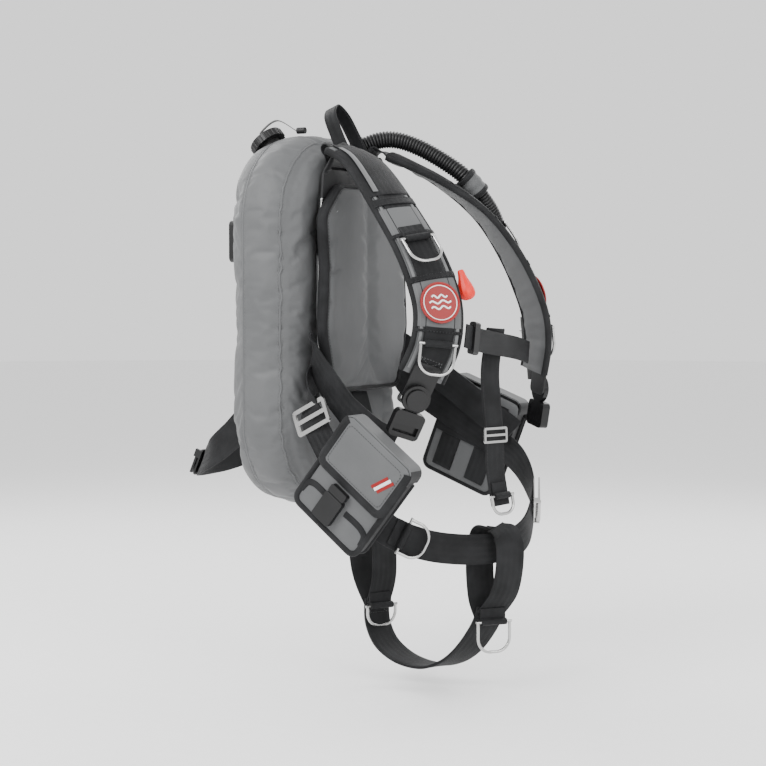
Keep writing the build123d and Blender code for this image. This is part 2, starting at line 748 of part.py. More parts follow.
with BuildPart() as centre_slider:
    slider(outward(seat(CENTRE_STRAP, -272, CENTRE_TOP)), CHEST_WEB + 10, 26, 3, 4)
save(centre_slider, "centre_slider")

with BuildPart() as centre_ring:
    d_ring(CENTRE_RING_PLANE, 42, 30, WIRE)
save(centre_ring, "centre_ring")

# ---------------------------------------------------------------- waist belt
with BuildPart() as waist_belt:
    band(WAIST, WEB, WEB_T)
save(waist_belt, "waist_belt")

with BuildPart() as waist_ring:
    d_ring(WAIST_RING_PLANE, RING_W, 40, WIRE)
save(waist_ring, "waist_ring")

LADDER_SEAT = {"right": seat(WAIST, -240, BELT_FACE), "left": seat(WAIST[14:], -208, BELT_FACE)}
with BuildPart() as ladder_buckles:
    for side in SIDES:
        slider(outward(LADDER_SEAT[side]), WEB + 30, 44, 3.5, 7)
save(ladder_buckles, "ladder_buckles")

BUCKLE_SEAT = outward(seat(WAIST[10:], -390, BELT_FACE + 1))
BUCKLE_PIN_R = 2.0
HINGE_LIFT = 7.4
HINGE_BACK = 22.0
with BuildPart() as belt_buckle_frame:
    with BuildSketch(BUCKLE_SEAT) as base:
        RectangleRounded(58, 56, 4)
        with GridLocations(0, 26, 1, 2):
            Rectangle(46, 14, mode=Mode.SUBTRACT)
    extrude(base.sketch, amount=1.6)
    with BuildSketch(shifted_along_x(BUCKLE_SEAT, -29)) as ears:
        with Locations((HINGE_BACK, HINGE_LIFT / 2 + 1.5)):
            Rectangle(9, HINGE_LIFT + 3)
    extrude(ears.sketch, amount=58)
    with BuildSketch(shifted_along_x(BUCKLE_SEAT, -26)) as ear_gap:
        with Locations((HINGE_BACK, HINGE_LIFT / 2 + 6)):
            Rectangle(14, HINGE_LIFT + 8.4)
    extrude(ear_gap.sketch, amount=52, mode=Mode.SUBTRACT)
    with BuildSketch(shifted_along_x(BUCKLE_SEAT, -28)) as pin:
        with Locations((HINGE_BACK, HINGE_LIFT)):
            Circle(BUCKLE_PIN_R)
    extrude(pin.sketch, amount=56)
save(belt_buckle_frame, "belt_buckle_frame")
with BuildPart() as belt_buckle_flap:
    with BuildSketch(shifted_along_x(BUCKLE_SEAT, -25)) as flap_profile:
        with Locations((HINGE_BACK, HINGE_LIFT)):
            Circle(4.6)
        with Locations((-4, HINGE_LIFT + 2)):
            Rectangle(52, 2.4)
        with Locations((HINGE_BACK, HINGE_LIFT)):
            Circle(BUCKLE_PIN_R + PIN_GAP, mode=Mode.SUBTRACT)
    extrude(flap_profile.sketch, amount=50)
save(belt_buckle_flap, "belt_buckle_flap")

# ---------------------------------------------------------------- pockets
POCKET = {
    "right": Plane((-212, -124, -344), x_dir=(0, -0.785, -0.62), z_dir=(-1, 0, 0)),
    "left": Plane((199, -124, -292), x_dir=(0, 0.93, 0.36), z_dir=(1, 0, 0)),
}
for side in SIDES:
    pocket = POCKET[side]
    back = pocket.offset(-POCKET_D / 2)
    with BuildPart() as pocket_pouch:
        with BuildSketch(back) as pouch_outline:
            RectangleRounded(POCKET_W, POCKET_H, 14)
        extrude(pouch_outline.sketch, amount=POCKET_D)
        with BuildSketch(back.offset(POCKET_WALL)) as pouch_inside:
            with Locations((0, POCKET_WALL + 10)):
                Rectangle(POCKET_W - 2 * POCKET_WALL, POCKET_H + 14)
        extrude(pouch_inside.sketch, amount=POCKET_D - 2 * POCKET_WALL, mode=Mode.SUBTRACT)
    save(pocket_pouch, f"{side}_pocket_pouch")
    top = POCKET_H / 2 + 2
    with BuildPart() as pocket_flap:
        with BuildSketch(pocket.offset(POCKET_D / 2 + GAP * 2)) as flap_front:
            with Locations((0, top + FLAP_T - FLAP_DROP / 2)):
                RectangleRounded(POCKET_W, FLAP_DROP, 12)
        extrude(flap_front.sketch, amount=FLAP_T)
        hinge_line = Plane(pocket.origin - pocket.z_dir * HINGE_IN, x_dir=pocket.x_dir, z_dir=pocket.z_dir)
        with BuildSketch(hinge_line) as flap_top:
            with Locations((0, top + FLAP_T / 2)):
                Rectangle(POCKET_W - 26, FLAP_T)
        extrude(flap_top.sketch, amount=HINGE_IN + POCKET_D / 2 + GAP * 2 + FLAP_T)
        with BuildSketch(shifted_along_x(hinge_line, 13 - POCKET_W / 2)) as hinge_fold:
            with Locations((top + FLAP_T / 2, 0)):
                Circle(FLAP_T / 2)
        extrude(hinge_fold.sketch, amount=POCKET_W - 26)
    save(pocket_flap, f"{side}_pocket_flap")
    face = pocket.offset(POCKET_D / 2 + GAP)
    with BuildPart() as pocket_buckle:
        with BuildSketch(face) as buckle_case:
            with Locations((-8, -51)):
                RectangleRounded(37, 48, 4)
        extrude(buckle_case.sketch, amount=10)
        with BuildSketch(face.offset(3 - GAP)) as tongue_slot:
            with Locations((-8, -41)):
                Rectangle(20 + 2 * GAP, 36)
        extrude(tongue_slot.sketch, amount=4 + 2 * GAP, mode=Mode.SUBTRACT)
    save(pocket_buckle, f"{side}_pocket_buckle")

with BuildPart() as pocket_clips:
    for side in SIDES:
        face = POCKET[side].offset(POCKET_D / 2 + GAP)
        with BuildSketch(face) as clip_bar:
            with Locations((-8, -19)):
                RectangleRounded(34, 14, 3)
        extrude(clip_bar.sketch, amount=10)
        with BuildSketch(face.offset(3)) as clip_tongue:
            with Locations((-8, -38)):
                Rectangle(20, 28)
        extrude(clip_tongue.sketch, amount=4)
save(pocket_clips, "pocket_clips")

# ---------------------------------------------------------------- crotch strap
with BuildPart() as crotch_strap:
    band(CROTCH_REAR, WEB, WEB_T)
    band(CROTCH_INNER, WEB, WEB_T)
    band(CROTCH_SWEEP, WEB, 2 * WEB_T)
    band(CROTCH_FRONT[:5], WEB, WEB_T)
    band(CROTCH_FRONT[4:], WEB, WEB_T)
save(crotch_strap, "crotch_strap")


CROTCH_RINGS = {"crotch_rear_ring": (REAR_RING_PLANE, 34), "crotch_front_ring": (FRONT_RING_PLANE, 50)}
for name, (plane, drop) in CROTCH_RINGS.items():
    with BuildPart() as crotch_ring:
        d_ring(plane, RING_W, drop, WIRE)
    save(crotch_ring, name)

# ---------------------------------------------------------------- bands that hold the cylinder
with BuildPart() as lower_band:
    band(whole(LOWER_BAND), WEB, WEB_T)
save(lower_band, "lower_cylinder_band")
with BuildPart() as upper_band:
    band(whole(UPPER_BAND), WEB, WEB_T)
save(upper_band, "upper_cylinder_band")

GRIP_SEAT = Plane((0, 239.8, 52), x_dir=(-1, 0, 0), z_dir=(0, 1, 0))
with BuildPart() as upper_band_grip:
    with BuildSketch(GRIP_SEAT) as grip:
        RectangleRounded(30, 74, 9)
    extrude(grip.sketch, amount=16)
    with BuildSketch(GRIP_SEAT.offset(6)) as grip_recess:
        RectangleRounded(18, 56, 6)
    extrude(grip_recess.sketch, amount=12, mode=Mode.SUBTRACT)
save(upper_band_grip, "upper_band_grip")

CAM_SEAT = Plane((0, 313.8, -343), x_dir=(-1, 0, 0), z_dir=(0, 0.9, 0.4))
with BuildPart() as cam_buckle_base:
    with BuildSketch(CAM_SEAT) as cam_plate:
        RectangleRounded(62, 50, 4)
    extrude(cam_plate.sketch, amount=3)
    with BuildSketch(shifted_along_x(CAM_SEAT, -31)) as cam_ears:
        with Locations((14, 8)):
            Rectangle(14, 13)
    extrude(cam_ears.sketch, amount=5)
    with BuildSketch(shifted_along_x(CAM_SEAT, 26)) as far_ear:
        with Locations((14, 8)):
            Rectangle(14, 13)
    extrude(far_ear.sketch, amount=5)
    with BuildSketch(shifted_along_x(CAM_SEAT, -29)) as cam_pin:
        with Locations((14, 9.5)):
            Circle(BUCKLE_PIN_R)
    extrude(cam_pin.sketch, amount=58)
save(cam_buckle_base, "cam_buckle_base")
with BuildPart() as cam_buckle_lever:
    with BuildSketch(shifted_along_x(CAM_SEAT, -25)) as lever_profile:
        with Locations((14, 9.5)):
            Circle(5.5)
        with Locations((-6, 12.5)):
            Rectangle(40, 4)
        with Locations((14, 9.5)):
            Circle(BUCKLE_PIN_R + PIN_GAP, mode=Mode.SUBTRACT)
    extrude(lever_profile.sketch, amount=50)
save(cam_buckle_lever, "cam_buckle_lever")


def report_joint(name, plane):
    """Print where a joint is: its centre, and the plane's x, y and z, in millimetres."""
    directions = [[round(v, 4) for v in way] for way in (plane.x_dir, plane.y_dir, plane.z_dir)]
    print(name, [round(v, 2) for v in plane.origin], *directions)


for side in SIDES:
    for level, height in (("upper", UPPER_RING_Z[side]), ("lower", LOWER_RING_Z[side])):
        report_joint(f"{side}_{level}_ring", facing(seat(SHOULDER[side], height, WEB_TOP + KEEPER_H)))
    tongue_end = seat(SHOULDER[side], SWIVEL_Z, WEB_TOP + GAP)
    report_joint(f"{side}_swivel", outward(shifted(tongue_end, 0, along=SWIVEL_REACH)))
    report_joint(f"{side}_pocket", POCKET[side])
report_joint("waist_ring", WAIST_RING_PLANE)
report_joint("centre_ring", CENTRE_RING_PLANE)
report_joint("crotch_rear_ring", REAR_RING_PLANE)
report_joint("crotch_front_ring", FRONT_RING_PLANE)
report_joint("belt_buckle", BUCKLE_SEAT)
report_joint("cam_buckle", CAM_SEAT)
report_joint("chest_slider", SLIDER_SEAT)
report_joint("valve", VALVE_SEAT)
report_joint("toggle", TOGGLE_SEAT)
report_joint("knob", KNOB)
report_joint("inflate_button", on_inflator(BUTTON_DOWN[0], 13))
report_joint("deflate_button", on_inflator(BUTTON_DOWN[1], 13))
report_joint("nipple", inflator_side(NIPPLE_OUT))
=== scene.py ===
# %% [markdown]
# # A diver's buoyancy vest
# The steel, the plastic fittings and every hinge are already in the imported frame. This lesson
# adds what cloth, webbing, foam and rubber look like, one piece at a time, round that frame.

# %% Load the frame and remember its box
import bpy
from math import cos, pi, radians, sin
from mathutils import Matrix, Vector


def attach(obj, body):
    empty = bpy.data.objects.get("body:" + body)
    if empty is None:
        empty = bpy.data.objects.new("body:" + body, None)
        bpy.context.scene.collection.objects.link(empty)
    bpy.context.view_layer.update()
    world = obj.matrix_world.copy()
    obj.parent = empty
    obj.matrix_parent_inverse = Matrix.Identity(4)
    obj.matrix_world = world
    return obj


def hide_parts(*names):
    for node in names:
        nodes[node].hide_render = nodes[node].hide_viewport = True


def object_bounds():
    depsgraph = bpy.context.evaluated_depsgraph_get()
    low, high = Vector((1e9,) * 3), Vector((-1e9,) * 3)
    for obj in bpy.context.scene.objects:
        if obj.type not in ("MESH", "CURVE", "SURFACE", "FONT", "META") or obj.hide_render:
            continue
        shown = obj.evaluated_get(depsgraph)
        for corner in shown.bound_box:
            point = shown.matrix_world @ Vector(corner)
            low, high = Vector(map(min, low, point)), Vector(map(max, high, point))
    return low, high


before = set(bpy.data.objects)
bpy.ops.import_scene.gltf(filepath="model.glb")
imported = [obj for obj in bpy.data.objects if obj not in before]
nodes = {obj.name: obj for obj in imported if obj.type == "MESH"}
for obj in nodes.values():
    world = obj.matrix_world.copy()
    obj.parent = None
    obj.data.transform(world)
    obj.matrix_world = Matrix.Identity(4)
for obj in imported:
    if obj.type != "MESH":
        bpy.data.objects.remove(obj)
cad_low, cad_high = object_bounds()
print("nodes", len(nodes), "box", [round(v, 3) for v in (*cad_low, *cad_high)])

# %% [markdown]
# ## Camera, floor and light
# A long lens three metres away keeps the long straps in proportion. The vest hangs, so the pale
# floor lies a little below it. Wide soft lights and a white surround leave only soft shadows.

# %% Camera
VIEW_CENTRE = Vector((0, -0.051, -0.192))
VIEW_WAY = Vector((-0.8648, -0.4993, 0.0523))
CAMERA_DISTANCE = 3.0
camera_data = bpy.data.cameras.new("camera")
camera_data.lens = 82.9
camera = bpy.data.objects.new("camera", camera_data)
camera.location = VIEW_CENTRE + VIEW_WAY * CAMERA_DISTANCE
camera.rotation_euler = (-VIEW_WAY).to_track_quat("-Z", "Y").to_euler()
bpy.context.scene.collection.objects.link(camera)
bpy.context.scene.camera = camera

# %% Soft lights on each side and a white surround
def soft_light(name, way, power, size):
    """A square area light, 2.6 m from the vest in one direction, turned to it."""
    data = bpy.data.lights.new(name, "AREA")
    data.energy = power
    data.size = size
    lamp = bpy.data.objects.new(name, data)
    lamp.location = VIEW_CENTRE + Vector(way).normalized() * 2.6
    lamp.rotation_euler = (-Vector(way)).to_track_quat("-Z", "Y").to_euler()
    bpy.context.scene.collection.objects.link(lamp)


soft_light("key_light", (-1.0, 0.30, 0.80), 70, 1.5)
soft_light("front_light", (-0.4, -1.0, 0.45), 36, 1.6)
soft_light("left_light", (1.0, -0.2, 0.6), 34, 1.6)
soft_light("rear_light", (0.3, 1.0, 0.7), 40, 1.6)
surround = bpy.data.worlds.new("white_surround")
surround.use_nodes = True
surround.node_tree.nodes["Background"].inputs["Color"].default_value = (1, 1, 1, 1)
surround.node_tree.nodes["Background"].inputs["Strength"].default_value = 1.3
bpy.context.scene.world = surround

# %% [markdown]
# ## Finishes
# Each finish is one function that writes its nodes out as the node editor shows them. Cloth on
# cut panels reads Object coordinates, and webbing reads a UV map in metres that runs along it.

# %% Grey pack cloth: a plain weave, a little uneven in colour
def pack_cloth(name, dark, light, thread=0.0011, rough=0.62):
    """Coated nylon: two crossed sets of threads make the weave, and slow noise makes it uneven."""
    material = bpy.data.materials.new(name)
    material.use_nodes = True
    tree = material.node_tree
    shader = tree.nodes["Principled BSDF"]
    shader.inputs["Roughness"].default_value = rough
    shader.inputs["Sheen Weight"].default_value = 0.04
    shader.inputs["Specular IOR Level"].default_value = 0.30
    place = tree.nodes.new("ShaderNodeTexCoord")
    place.label = "where on the cloth"
    warp = tree.nodes.new("ShaderNodeTexWave")
    warp.label = "warp threads"
    warp.bands_direction = "DIAGONAL"
    warp.inputs["Scale"].default_value = 0.18 / thread
    turn = tree.nodes.new("ShaderNodeMapping")
    turn.label = "weft runs across the warp"
    turn.inputs["Rotation"].default_value = (0.4, 1.2, pi / 2)
    weft = tree.nodes.new("ShaderNodeTexWave")
    weft.label = "weft threads"
    weft.bands_direction = "DIAGONAL"
    weft.inputs["Scale"].default_value = 0.18 / thread
    weave = tree.nodes.new("ShaderNodeMath")
    weave.label = "over and under"
    weave.operation = "MULTIPLY"
    shade = tree.nodes.new("ShaderNodeTexNoise")
    shade.label = "uneven coating"
    shade.inputs["Scale"].default_value = 9.0
    shade.inputs["Detail"].default_value = 5.0
    colour = tree.nodes.new("ShaderNodeValToRGB")
    colour.label = "cloth colour"
    colour.color_ramp.elements[0].position = 0.32
    colour.color_ramp.elements[0].color = (*dark, 1)
    colour.color_ramp.elements[1].position = 0.68
    colour.color_ramp.elements[1].color = (*light, 1)
    crease = tree.nodes.new("ShaderNodeTexNoise")
    crease.label = "soft creases"
    crease.inputs["Scale"].default_value = 34.0
    crease.inputs["Detail"].default_value = 3.0
    crease_bump = tree.nodes.new("ShaderNodeBump")
    crease_bump.label = "creases"
    crease_bump.inputs["Distance"].default_value = 0.002
    crease_bump.inputs["Strength"].default_value = 0.35
    weave_bump = tree.nodes.new("ShaderNodeBump")
    weave_bump.label = "threads"
    weave_bump.inputs["Distance"].default_value = 0.00012
    weave_bump.inputs["Strength"].default_value = 0.5
    layers = (place, turn, warp, weft, weave, shade, colour, crease, crease_bump, weave_bump)
    for step, node in enumerate(layers):
        node.location = (-1600 + 150 * step, 300 - 170 * (step % 4))
    for title, members in (("weave", (turn, warp, weft, weave, weave_bump)), ("colour", (shade, colour))):
        group = tree.nodes.new("NodeFrame")
        group.label = title
        for node in members:
            node.parent = group
    tree.links.new(place.outputs["Object"], warp.inputs["Vector"])
    tree.links.new(place.outputs["Object"], turn.inputs["Vector"])
    tree.links.new(turn.outputs["Vector"], weft.inputs["Vector"])
    tree.links.new(warp.outputs["Fac"], weave.inputs[0])
    tree.links.new(weft.outputs["Fac"], weave.inputs[1])
    tree.links.new(place.outputs["Object"], shade.inputs["Vector"])
    tree.links.new(shade.outputs["Fac"], colour.inputs["Fac"])
    tree.links.new(colour.outputs["Color"], shader.inputs["Base Color"])
    tree.links.new(place.outputs["Object"], crease.inputs["Vector"])
    tree.links.new(crease.outputs["Fac"], crease_bump.inputs["Height"])
    tree.links.new(weave.outputs["Value"], weave_bump.inputs["Height"])
    tree.links.new(crease_bump.outputs["Normal"], weave_bump.inputs["Normal"])
    tree.links.new(weave_bump.outputs["Normal"], shader.inputs["Normal"])
    return material


grey_cloth = pack_cloth("grey_cloth", (0.074, 0.076, 0.078), (0.096, 0.098, 0.100))
cell_cloth = pack_cloth("cell_cloth", (0.078, 0.080, 0.082), (0.094, 0.096, 0.098), rough=0.55)
black_cloth = pack_cloth("black_cloth", (0.007, 0.007, 0.008), (0.013, 0.013, 0.014))
pale_cloth = pack_cloth("pale_cloth", (0.108, 0.110, 0.112), (0.140, 0.143, 0.145), rough=0.5)

# %% Black webbing: chevron ribs that follow the strap
def ribbed_webbing(name, dark, light, source="UV"):
    """Nylon webbing: rows of chevrons along the strap, worn a little paler here and there."""
    material = bpy.data.materials.new(name)
    material.use_nodes = True
    tree = material.node_tree
    shader = tree.nodes["Principled BSDF"]
    shader.inputs["Roughness"].default_value = 0.58
    shader.inputs["Sheen Weight"].default_value = 0.03
    shader.inputs["Specular IOR Level"].default_value = 0.16
    place = tree.nodes.new("ShaderNodeTexCoord")
    place.label = "along and across the strap, in metres"
    split = tree.nodes.new("ShaderNodeSeparateXYZ")
    split.label = "across and along"
    zigzag = tree.nodes.new("ShaderNodeMath")
    zigzag.label = "chevron every 10 mm"
    zigzag.operation = "PINGPONG"
    zigzag.inputs[1].default_value = 0.005
    slant = tree.nodes.new("ShaderNodeMath")
    slant.label = "threads slant with the chevron"
    slant.operation = "ADD"
    count = tree.nodes.new("ShaderNodeMath")
    count.label = "one rib every 2 mm"
    count.operation = "MULTIPLY"
    count.inputs[1].default_value = 2 * pi / 0.002
    rib = tree.nodes.new("ShaderNodeMath")
    rib.label = "round ribs"
    rib.operation = "SINE"
    wear = tree.nodes.new("ShaderNodeTexNoise")
    wear.label = "wear"
    wear.inputs["Scale"].default_value = 26.0
    wear.inputs["Detail"].default_value = 4.0
    colour = tree.nodes.new("ShaderNodeValToRGB")
    colour.label = "black, worn paler"
    colour.color_ramp.elements[0].position = 0.35
    colour.color_ramp.elements[0].color = (*dark, 1)
    colour.color_ramp.elements[1].position = 0.75
    colour.color_ramp.elements[1].color = (*light, 1)
    bump = tree.nodes.new("ShaderNodeBump")
    bump.label = "ribs"
    bump.inputs["Distance"].default_value = 0.00025
    bump.inputs["Strength"].default_value = 0.6
    for step, node in enumerate((place, split, zigzag, slant, count, rib, bump, wear, colour)):
        node.location = (-1500 + 160 * step, 260 - 180 * (step % 3))
    ribs = tree.nodes.new("NodeFrame")
    ribs.label = "chevron ribs"
    for node in (split, zigzag, slant, count, rib, bump):
        node.parent = ribs
    tree.links.new(place.outputs[source], split.inputs["Vector"])
    tree.links.new(split.outputs["X"], zigzag.inputs[0])
    tree.links.new(zigzag.outputs["Value"], slant.inputs[0])
    tree.links.new(split.outputs["Y" if source == "UV" else "Z"], slant.inputs[1])
    tree.links.new(slant.outputs["Value"], count.inputs[0])
    tree.links.new(count.outputs["Value"], rib.inputs[0])
    tree.links.new(rib.outputs["Value"], bump.inputs["Height"])
    tree.links.new(bump.outputs["Normal"], shader.inputs["Normal"])
    tree.links.new(place.outputs["Object"], wear.inputs["Vector"])
    tree.links.new(wear.outputs["Fac"], colour.inputs["Fac"])
    tree.links.new(colour.outputs["Color"], shader.inputs["Base Color"])
    return material


webbing = ribbed_webbing("webbing", (0.006, 0.0062, 0.0068), (0.016, 0.0164, 0.0175))
webbing_roll = ribbed_webbing("webbing_roll", (0.006, 0.0062, 0.0068), (0.015, 0.0154, 0.0165), "Object")

# %% Satin steel: fine rubbed lines and a few dull patches
def satin_steel(name, base, rough):
    """Stainless steel: stretched noise is the rubbed grain, slow noise the dull patches."""
    material = bpy.data.materials.new(name)
    material.use_nodes = True
    tree = material.node_tree
    shader = tree.nodes["Principled BSDF"]
    shader.inputs["Metallic"].default_value = 1.0
    shader.inputs["Base Color"].default_value = (*base, 1)
    place = tree.nodes.new("ShaderNodeTexCoord")
    place.label = "where on the metal"
    stretch = tree.nodes.new("ShaderNodeMapping")
    stretch.label = "rubbed one way"
    stretch.inputs["Scale"].default_value = (60, 60, 900)
    grain = tree.nodes.new("ShaderNodeTexNoise")
    grain.label = "rubbed grain"
    grain.inputs["Scale"].default_value = 3.0
    grain.inputs["Detail"].default_value = 3.0
    patch = tree.nodes.new("ShaderNodeTexNoise")
    patch.label = "dull patches"
    patch.inputs["Scale"].default_value = 40.0
    gloss = tree.nodes.new("ShaderNodeMapRange")
    gloss.label = "from bright to dull"
    gloss.inputs["To Min"].default_value = rough - 0.08
    gloss.inputs["To Max"].default_value = rough + 0.14
    bump = tree.nodes.new("ShaderNodeBump")
    bump.label = "grain"
    bump.inputs["Distance"].default_value = 0.00003
    bump.inputs["Strength"].default_value = 0.5
    for step, node in enumerate((place, stretch, grain, patch, gloss, bump)):
        node.location = (-1100 + 170 * step, 200 - 180 * (step % 3))
    tree.links.new(place.outputs["Object"], stretch.inputs["Vector"])
    tree.links.new(stretch.outputs["Vector"], grain.inputs["Vector"])
    tree.links.new(place.outputs["Object"], patch.inputs["Vector"])
    tree.links.new(patch.outputs["Fac"], gloss.inputs["Value"])
    tree.links.new(gloss.outputs["Result"], shader.inputs["Roughness"])
    tree.links.new(grain.outputs["Fac"], bump.inputs["Height"])
    tree.links.new(bump.outputs["Normal"], shader.inputs["Normal"])
    return material


steel = satin_steel("satin_steel", (0.46, 0.46, 0.455), 0.24)

# %% Moulded plastic and rubber: a fine skin over one colour
def moulded(name, dark, light, rough, grain_scale, grain_depth):
    """A moulded part: fine grain in its skin and a slow change of shade."""
    material = bpy.data.materials.new(name)
    material.use_nodes = True
    tree = material.node_tree
    shader = tree.nodes["Principled BSDF"]
    shader.inputs["Specular IOR Level"].default_value = 0.35
    place = tree.nodes.new("ShaderNodeTexCoord")
    place.label = "where on the moulding"
    grain = tree.nodes.new("ShaderNodeTexNoise")
    grain.label = "skin grain"
    grain.inputs["Scale"].default_value = grain_scale
    grain.inputs["Detail"].default_value = 2.0
    shade = tree.nodes.new("ShaderNodeTexNoise")
    shade.label = "uneven shade"
    shade.inputs["Scale"].default_value = 30.0
    shade.inputs["Detail"].default_value = 3.0
    colour = tree.nodes.new("ShaderNodeValToRGB")
    colour.label = "colour"
    colour.color_ramp.elements[0].color = (*dark, 1)
    colour.color_ramp.elements[1].color = (*light, 1)
    gloss = tree.nodes.new("ShaderNodeMapRange")
    gloss.label = "handled places shine"
    gloss.inputs["To Min"].default_value = rough - 0.08
    gloss.inputs["To Max"].default_value = rough + 0.08
    bump = tree.nodes.new("ShaderNodeBump")
    bump.label = "grain depth"
    bump.inputs["Distance"].default_value = grain_depth
    bump.inputs["Strength"].default_value = 0.4
    for step, node in enumerate((place, grain, shade, colour, gloss, bump)):
        node.location = (-1100 + 170 * step, 200 - 180 * (step % 3))
    tree.links.new(place.outputs["Object"], grain.inputs["Vector"])
    tree.links.new(place.outputs["Object"], shade.inputs["Vector"])
    tree.links.new(shade.outputs["Fac"], colour.inputs["Fac"])
    tree.links.new(colour.outputs["Color"], shader.inputs["Base Color"])
    tree.links.new(shade.outputs["Fac"], gloss.inputs["Value"])
    tree.links.new(gloss.outputs["Result"], shader.inputs["Roughness"])
    tree.links.new(grain.outputs["Fac"], bump.inputs["Height"])
    tree.links.new(bump.outputs["Normal"], shader.inputs["Normal"])
    return material


black_plastic = moulded("black_plastic", (0.004, 0.004, 0.0043), (0.009, 0.009, 0.0095), 0.40, 1500, 0.00008)
glossy_plastic = moulded("glossy_plastic", (0.003, 0.003, 0.0032), (0.006, 0.006, 0.0064), 0.24, 900, 0.00003)
hose_rubber = moulded("hose_rubber", (0.005, 0.005, 0.0054), (0.012, 0.012, 0.0126), 0.36, 700, 0.00006)
film = moulded("bladder_film", (0.05, 0.05, 0.055), (0.08, 0.08, 0.085), 0.3, 300, 0.0001)
red_rubber = moulded("red_rubber", (0.62, 0.012, 0.006), (0.76, 0.020, 0.009), 0.42, 600, 0.00006)
red_badge = moulded("red_badge", (0.20, 0.0015, 0.0012), (0.25, 0.0025, 0.002), 0.38, 700, 0.00005)
white_ink = moulded("white_ink", (0.74, 0.74, 0.73), (0.82, 0.82, 0.81), 0.45, 800, 0.00003)
black_thread = moulded("black_thread", (0.020, 0.020, 0.021), (0.035, 0.035, 0.037), 0.5, 2000, 0.00005)
grey_thread = moulded("grey_thread", (0.105, 0.107, 0.109), (0.135, 0.137, 0.139), 0.5, 2000, 0.00005)
grey_cord = moulded("grey_cord", (0.060, 0.060, 0.060), (0.095, 0.095, 0.095), 0.6, 2500, 0.0001)
floor_paint = moulded("floor_paint", (0.90, 0.90, 0.90), (0.93, 0.93, 0.93), 0.6, 20, 0.0001)

# %% The floor
bpy.ops.object.select_all(action="DESELECT")
FLOOR_Z = cad_low[2] - 0.03
bpy.ops.mesh.primitive_circle_add(vertices=96, radius=14, fill_type="NGON", location=(0, 0, FLOOR_Z))
floor = bpy.context.object
floor.name = "floor"
floor.data.materials.append(floor_paint)

# %% [markdown]
# ## Finishes on the frame's own parts
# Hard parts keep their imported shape. They only need the finish of what they are made of.

# %% Steel, plastic and webbing rolls
STEEL = ["backplate", "pad_screws", "centre_slider", "ladder_buckles", "belt_buckle_frame",
         "belt_buckle_flap", "inlet_nipple", "waist_ring", "centre_ring", "crotch_rear_ring",
         "crotch_front_ring",
         "right_upper_ring", "left_upper_ring", "right_lower_ring", "left_lower_ring"]
GLOSSY = ["right_buckle_housing", "left_buckle_housing", "mouthpiece", "inflate_button", "deflate_button"]
for name, node in nodes.items():
    finish = black_plastic
    if name in STEEL:
        finish = steel
    elif name in GLOSSY:
        finish = glossy_plastic
    elif name == "ring_keepers":
        finish = webbing_roll
    elif name == "inner_bladder":
        finish = film
    node.data.materials.clear()
    node.data.materials.append(finish)

# %% [markdown]
# ## One way to make every strap
# A strap is a flat grid whose rows are moved along a route. Each entry of a route is a point and
# the direction across the strap there. The rows keep a UV map in metres, so webbing ribs follow.

# %% Routes in millimetres, the same as the frame's
MM = 0.001
WEB, CHEST_WEB, WEB_T, PAD_W, PAD_T = 0.050, 0.038, 0.0025, 0.078, 0.014
PAD_FACE = PAD_T / 2 + 0.4 * MM
SHOULDER = {
    "right": [
        ((-85, -20, 196), (0.96, -0.28, 0)),
        ((-92, -60, 178), (0.94, -0.34, 0)),
        ((-105, -97, 146), (0.90, -0.44, 0)),
        ((-125, -151, 86), (0.84, -0.54, 0)),
        ((-140, -196, 29), (0.80, -0.60, 0)),
        ((-150, -227, -26), (0.77, -0.64, 0)),
        ((-154, -240, -72), (0.75, -0.66, 0)),
        ((-156, -235, -122), (0.73, -0.68, 0)),
        ((-158, -212, -170), (0.72, -0.69, 0)),
    ],
    "left": [
        ((85, -20, 194), (0.96, 0.28, 0)),
        ((95, -58, 176), (0.92, 0.39, 0)),
        ((110, -101, 151), (0.85, 0.53, 0)),
        ((130, -146, 116), (0.76, 0.65, 0)),
        ((140, -183, 78), (0.70, 0.71, 0)),
        ((148, -218, 26), (0.64, 0.77, 0)),
        ((153, -244, -26), (0.60, 0.80, 0)),
        ((156, -262, -77), (0.58, 0.81, 0)),
        ((158, -266, -125), (0.58, 0.81, 0)),
        ((160, -258, -172), (0.58, 0.81, 0)),
    ],
}

# Webbing from each shoulder buckle back to the plate's side slot
SIDE_STRAP = {
    "right": [
        ((-166, -168, -276), (0.5, -0.4, 0.75)),
        ((-164, -130, -266), (0.2, 0.1, 1)),
        ((-162, -76, -226), (0, 0.4, 0.9)),
        ((-157, -26, -168), (0, 0.3, 1)),
        ((-146, -3, -136), (0, 0, 1)),
        ((-131, -1, -124), (0, 0, 1)),
    ],
    "left": [
        ((165, -216, -280), (0.5, 0.4, 0.75)),
        ((163, -176, -256), (0.2, 0.1, 1)),
        ((161, -106, -206), (0, 0.4, 1)),
        ((157, -34, -158), (0, 0.3, 1)),
        ((146, -3, -134), (0, 0, 1)),
        ((131, -1, -124), (0, 0, 1)),
    ],
}

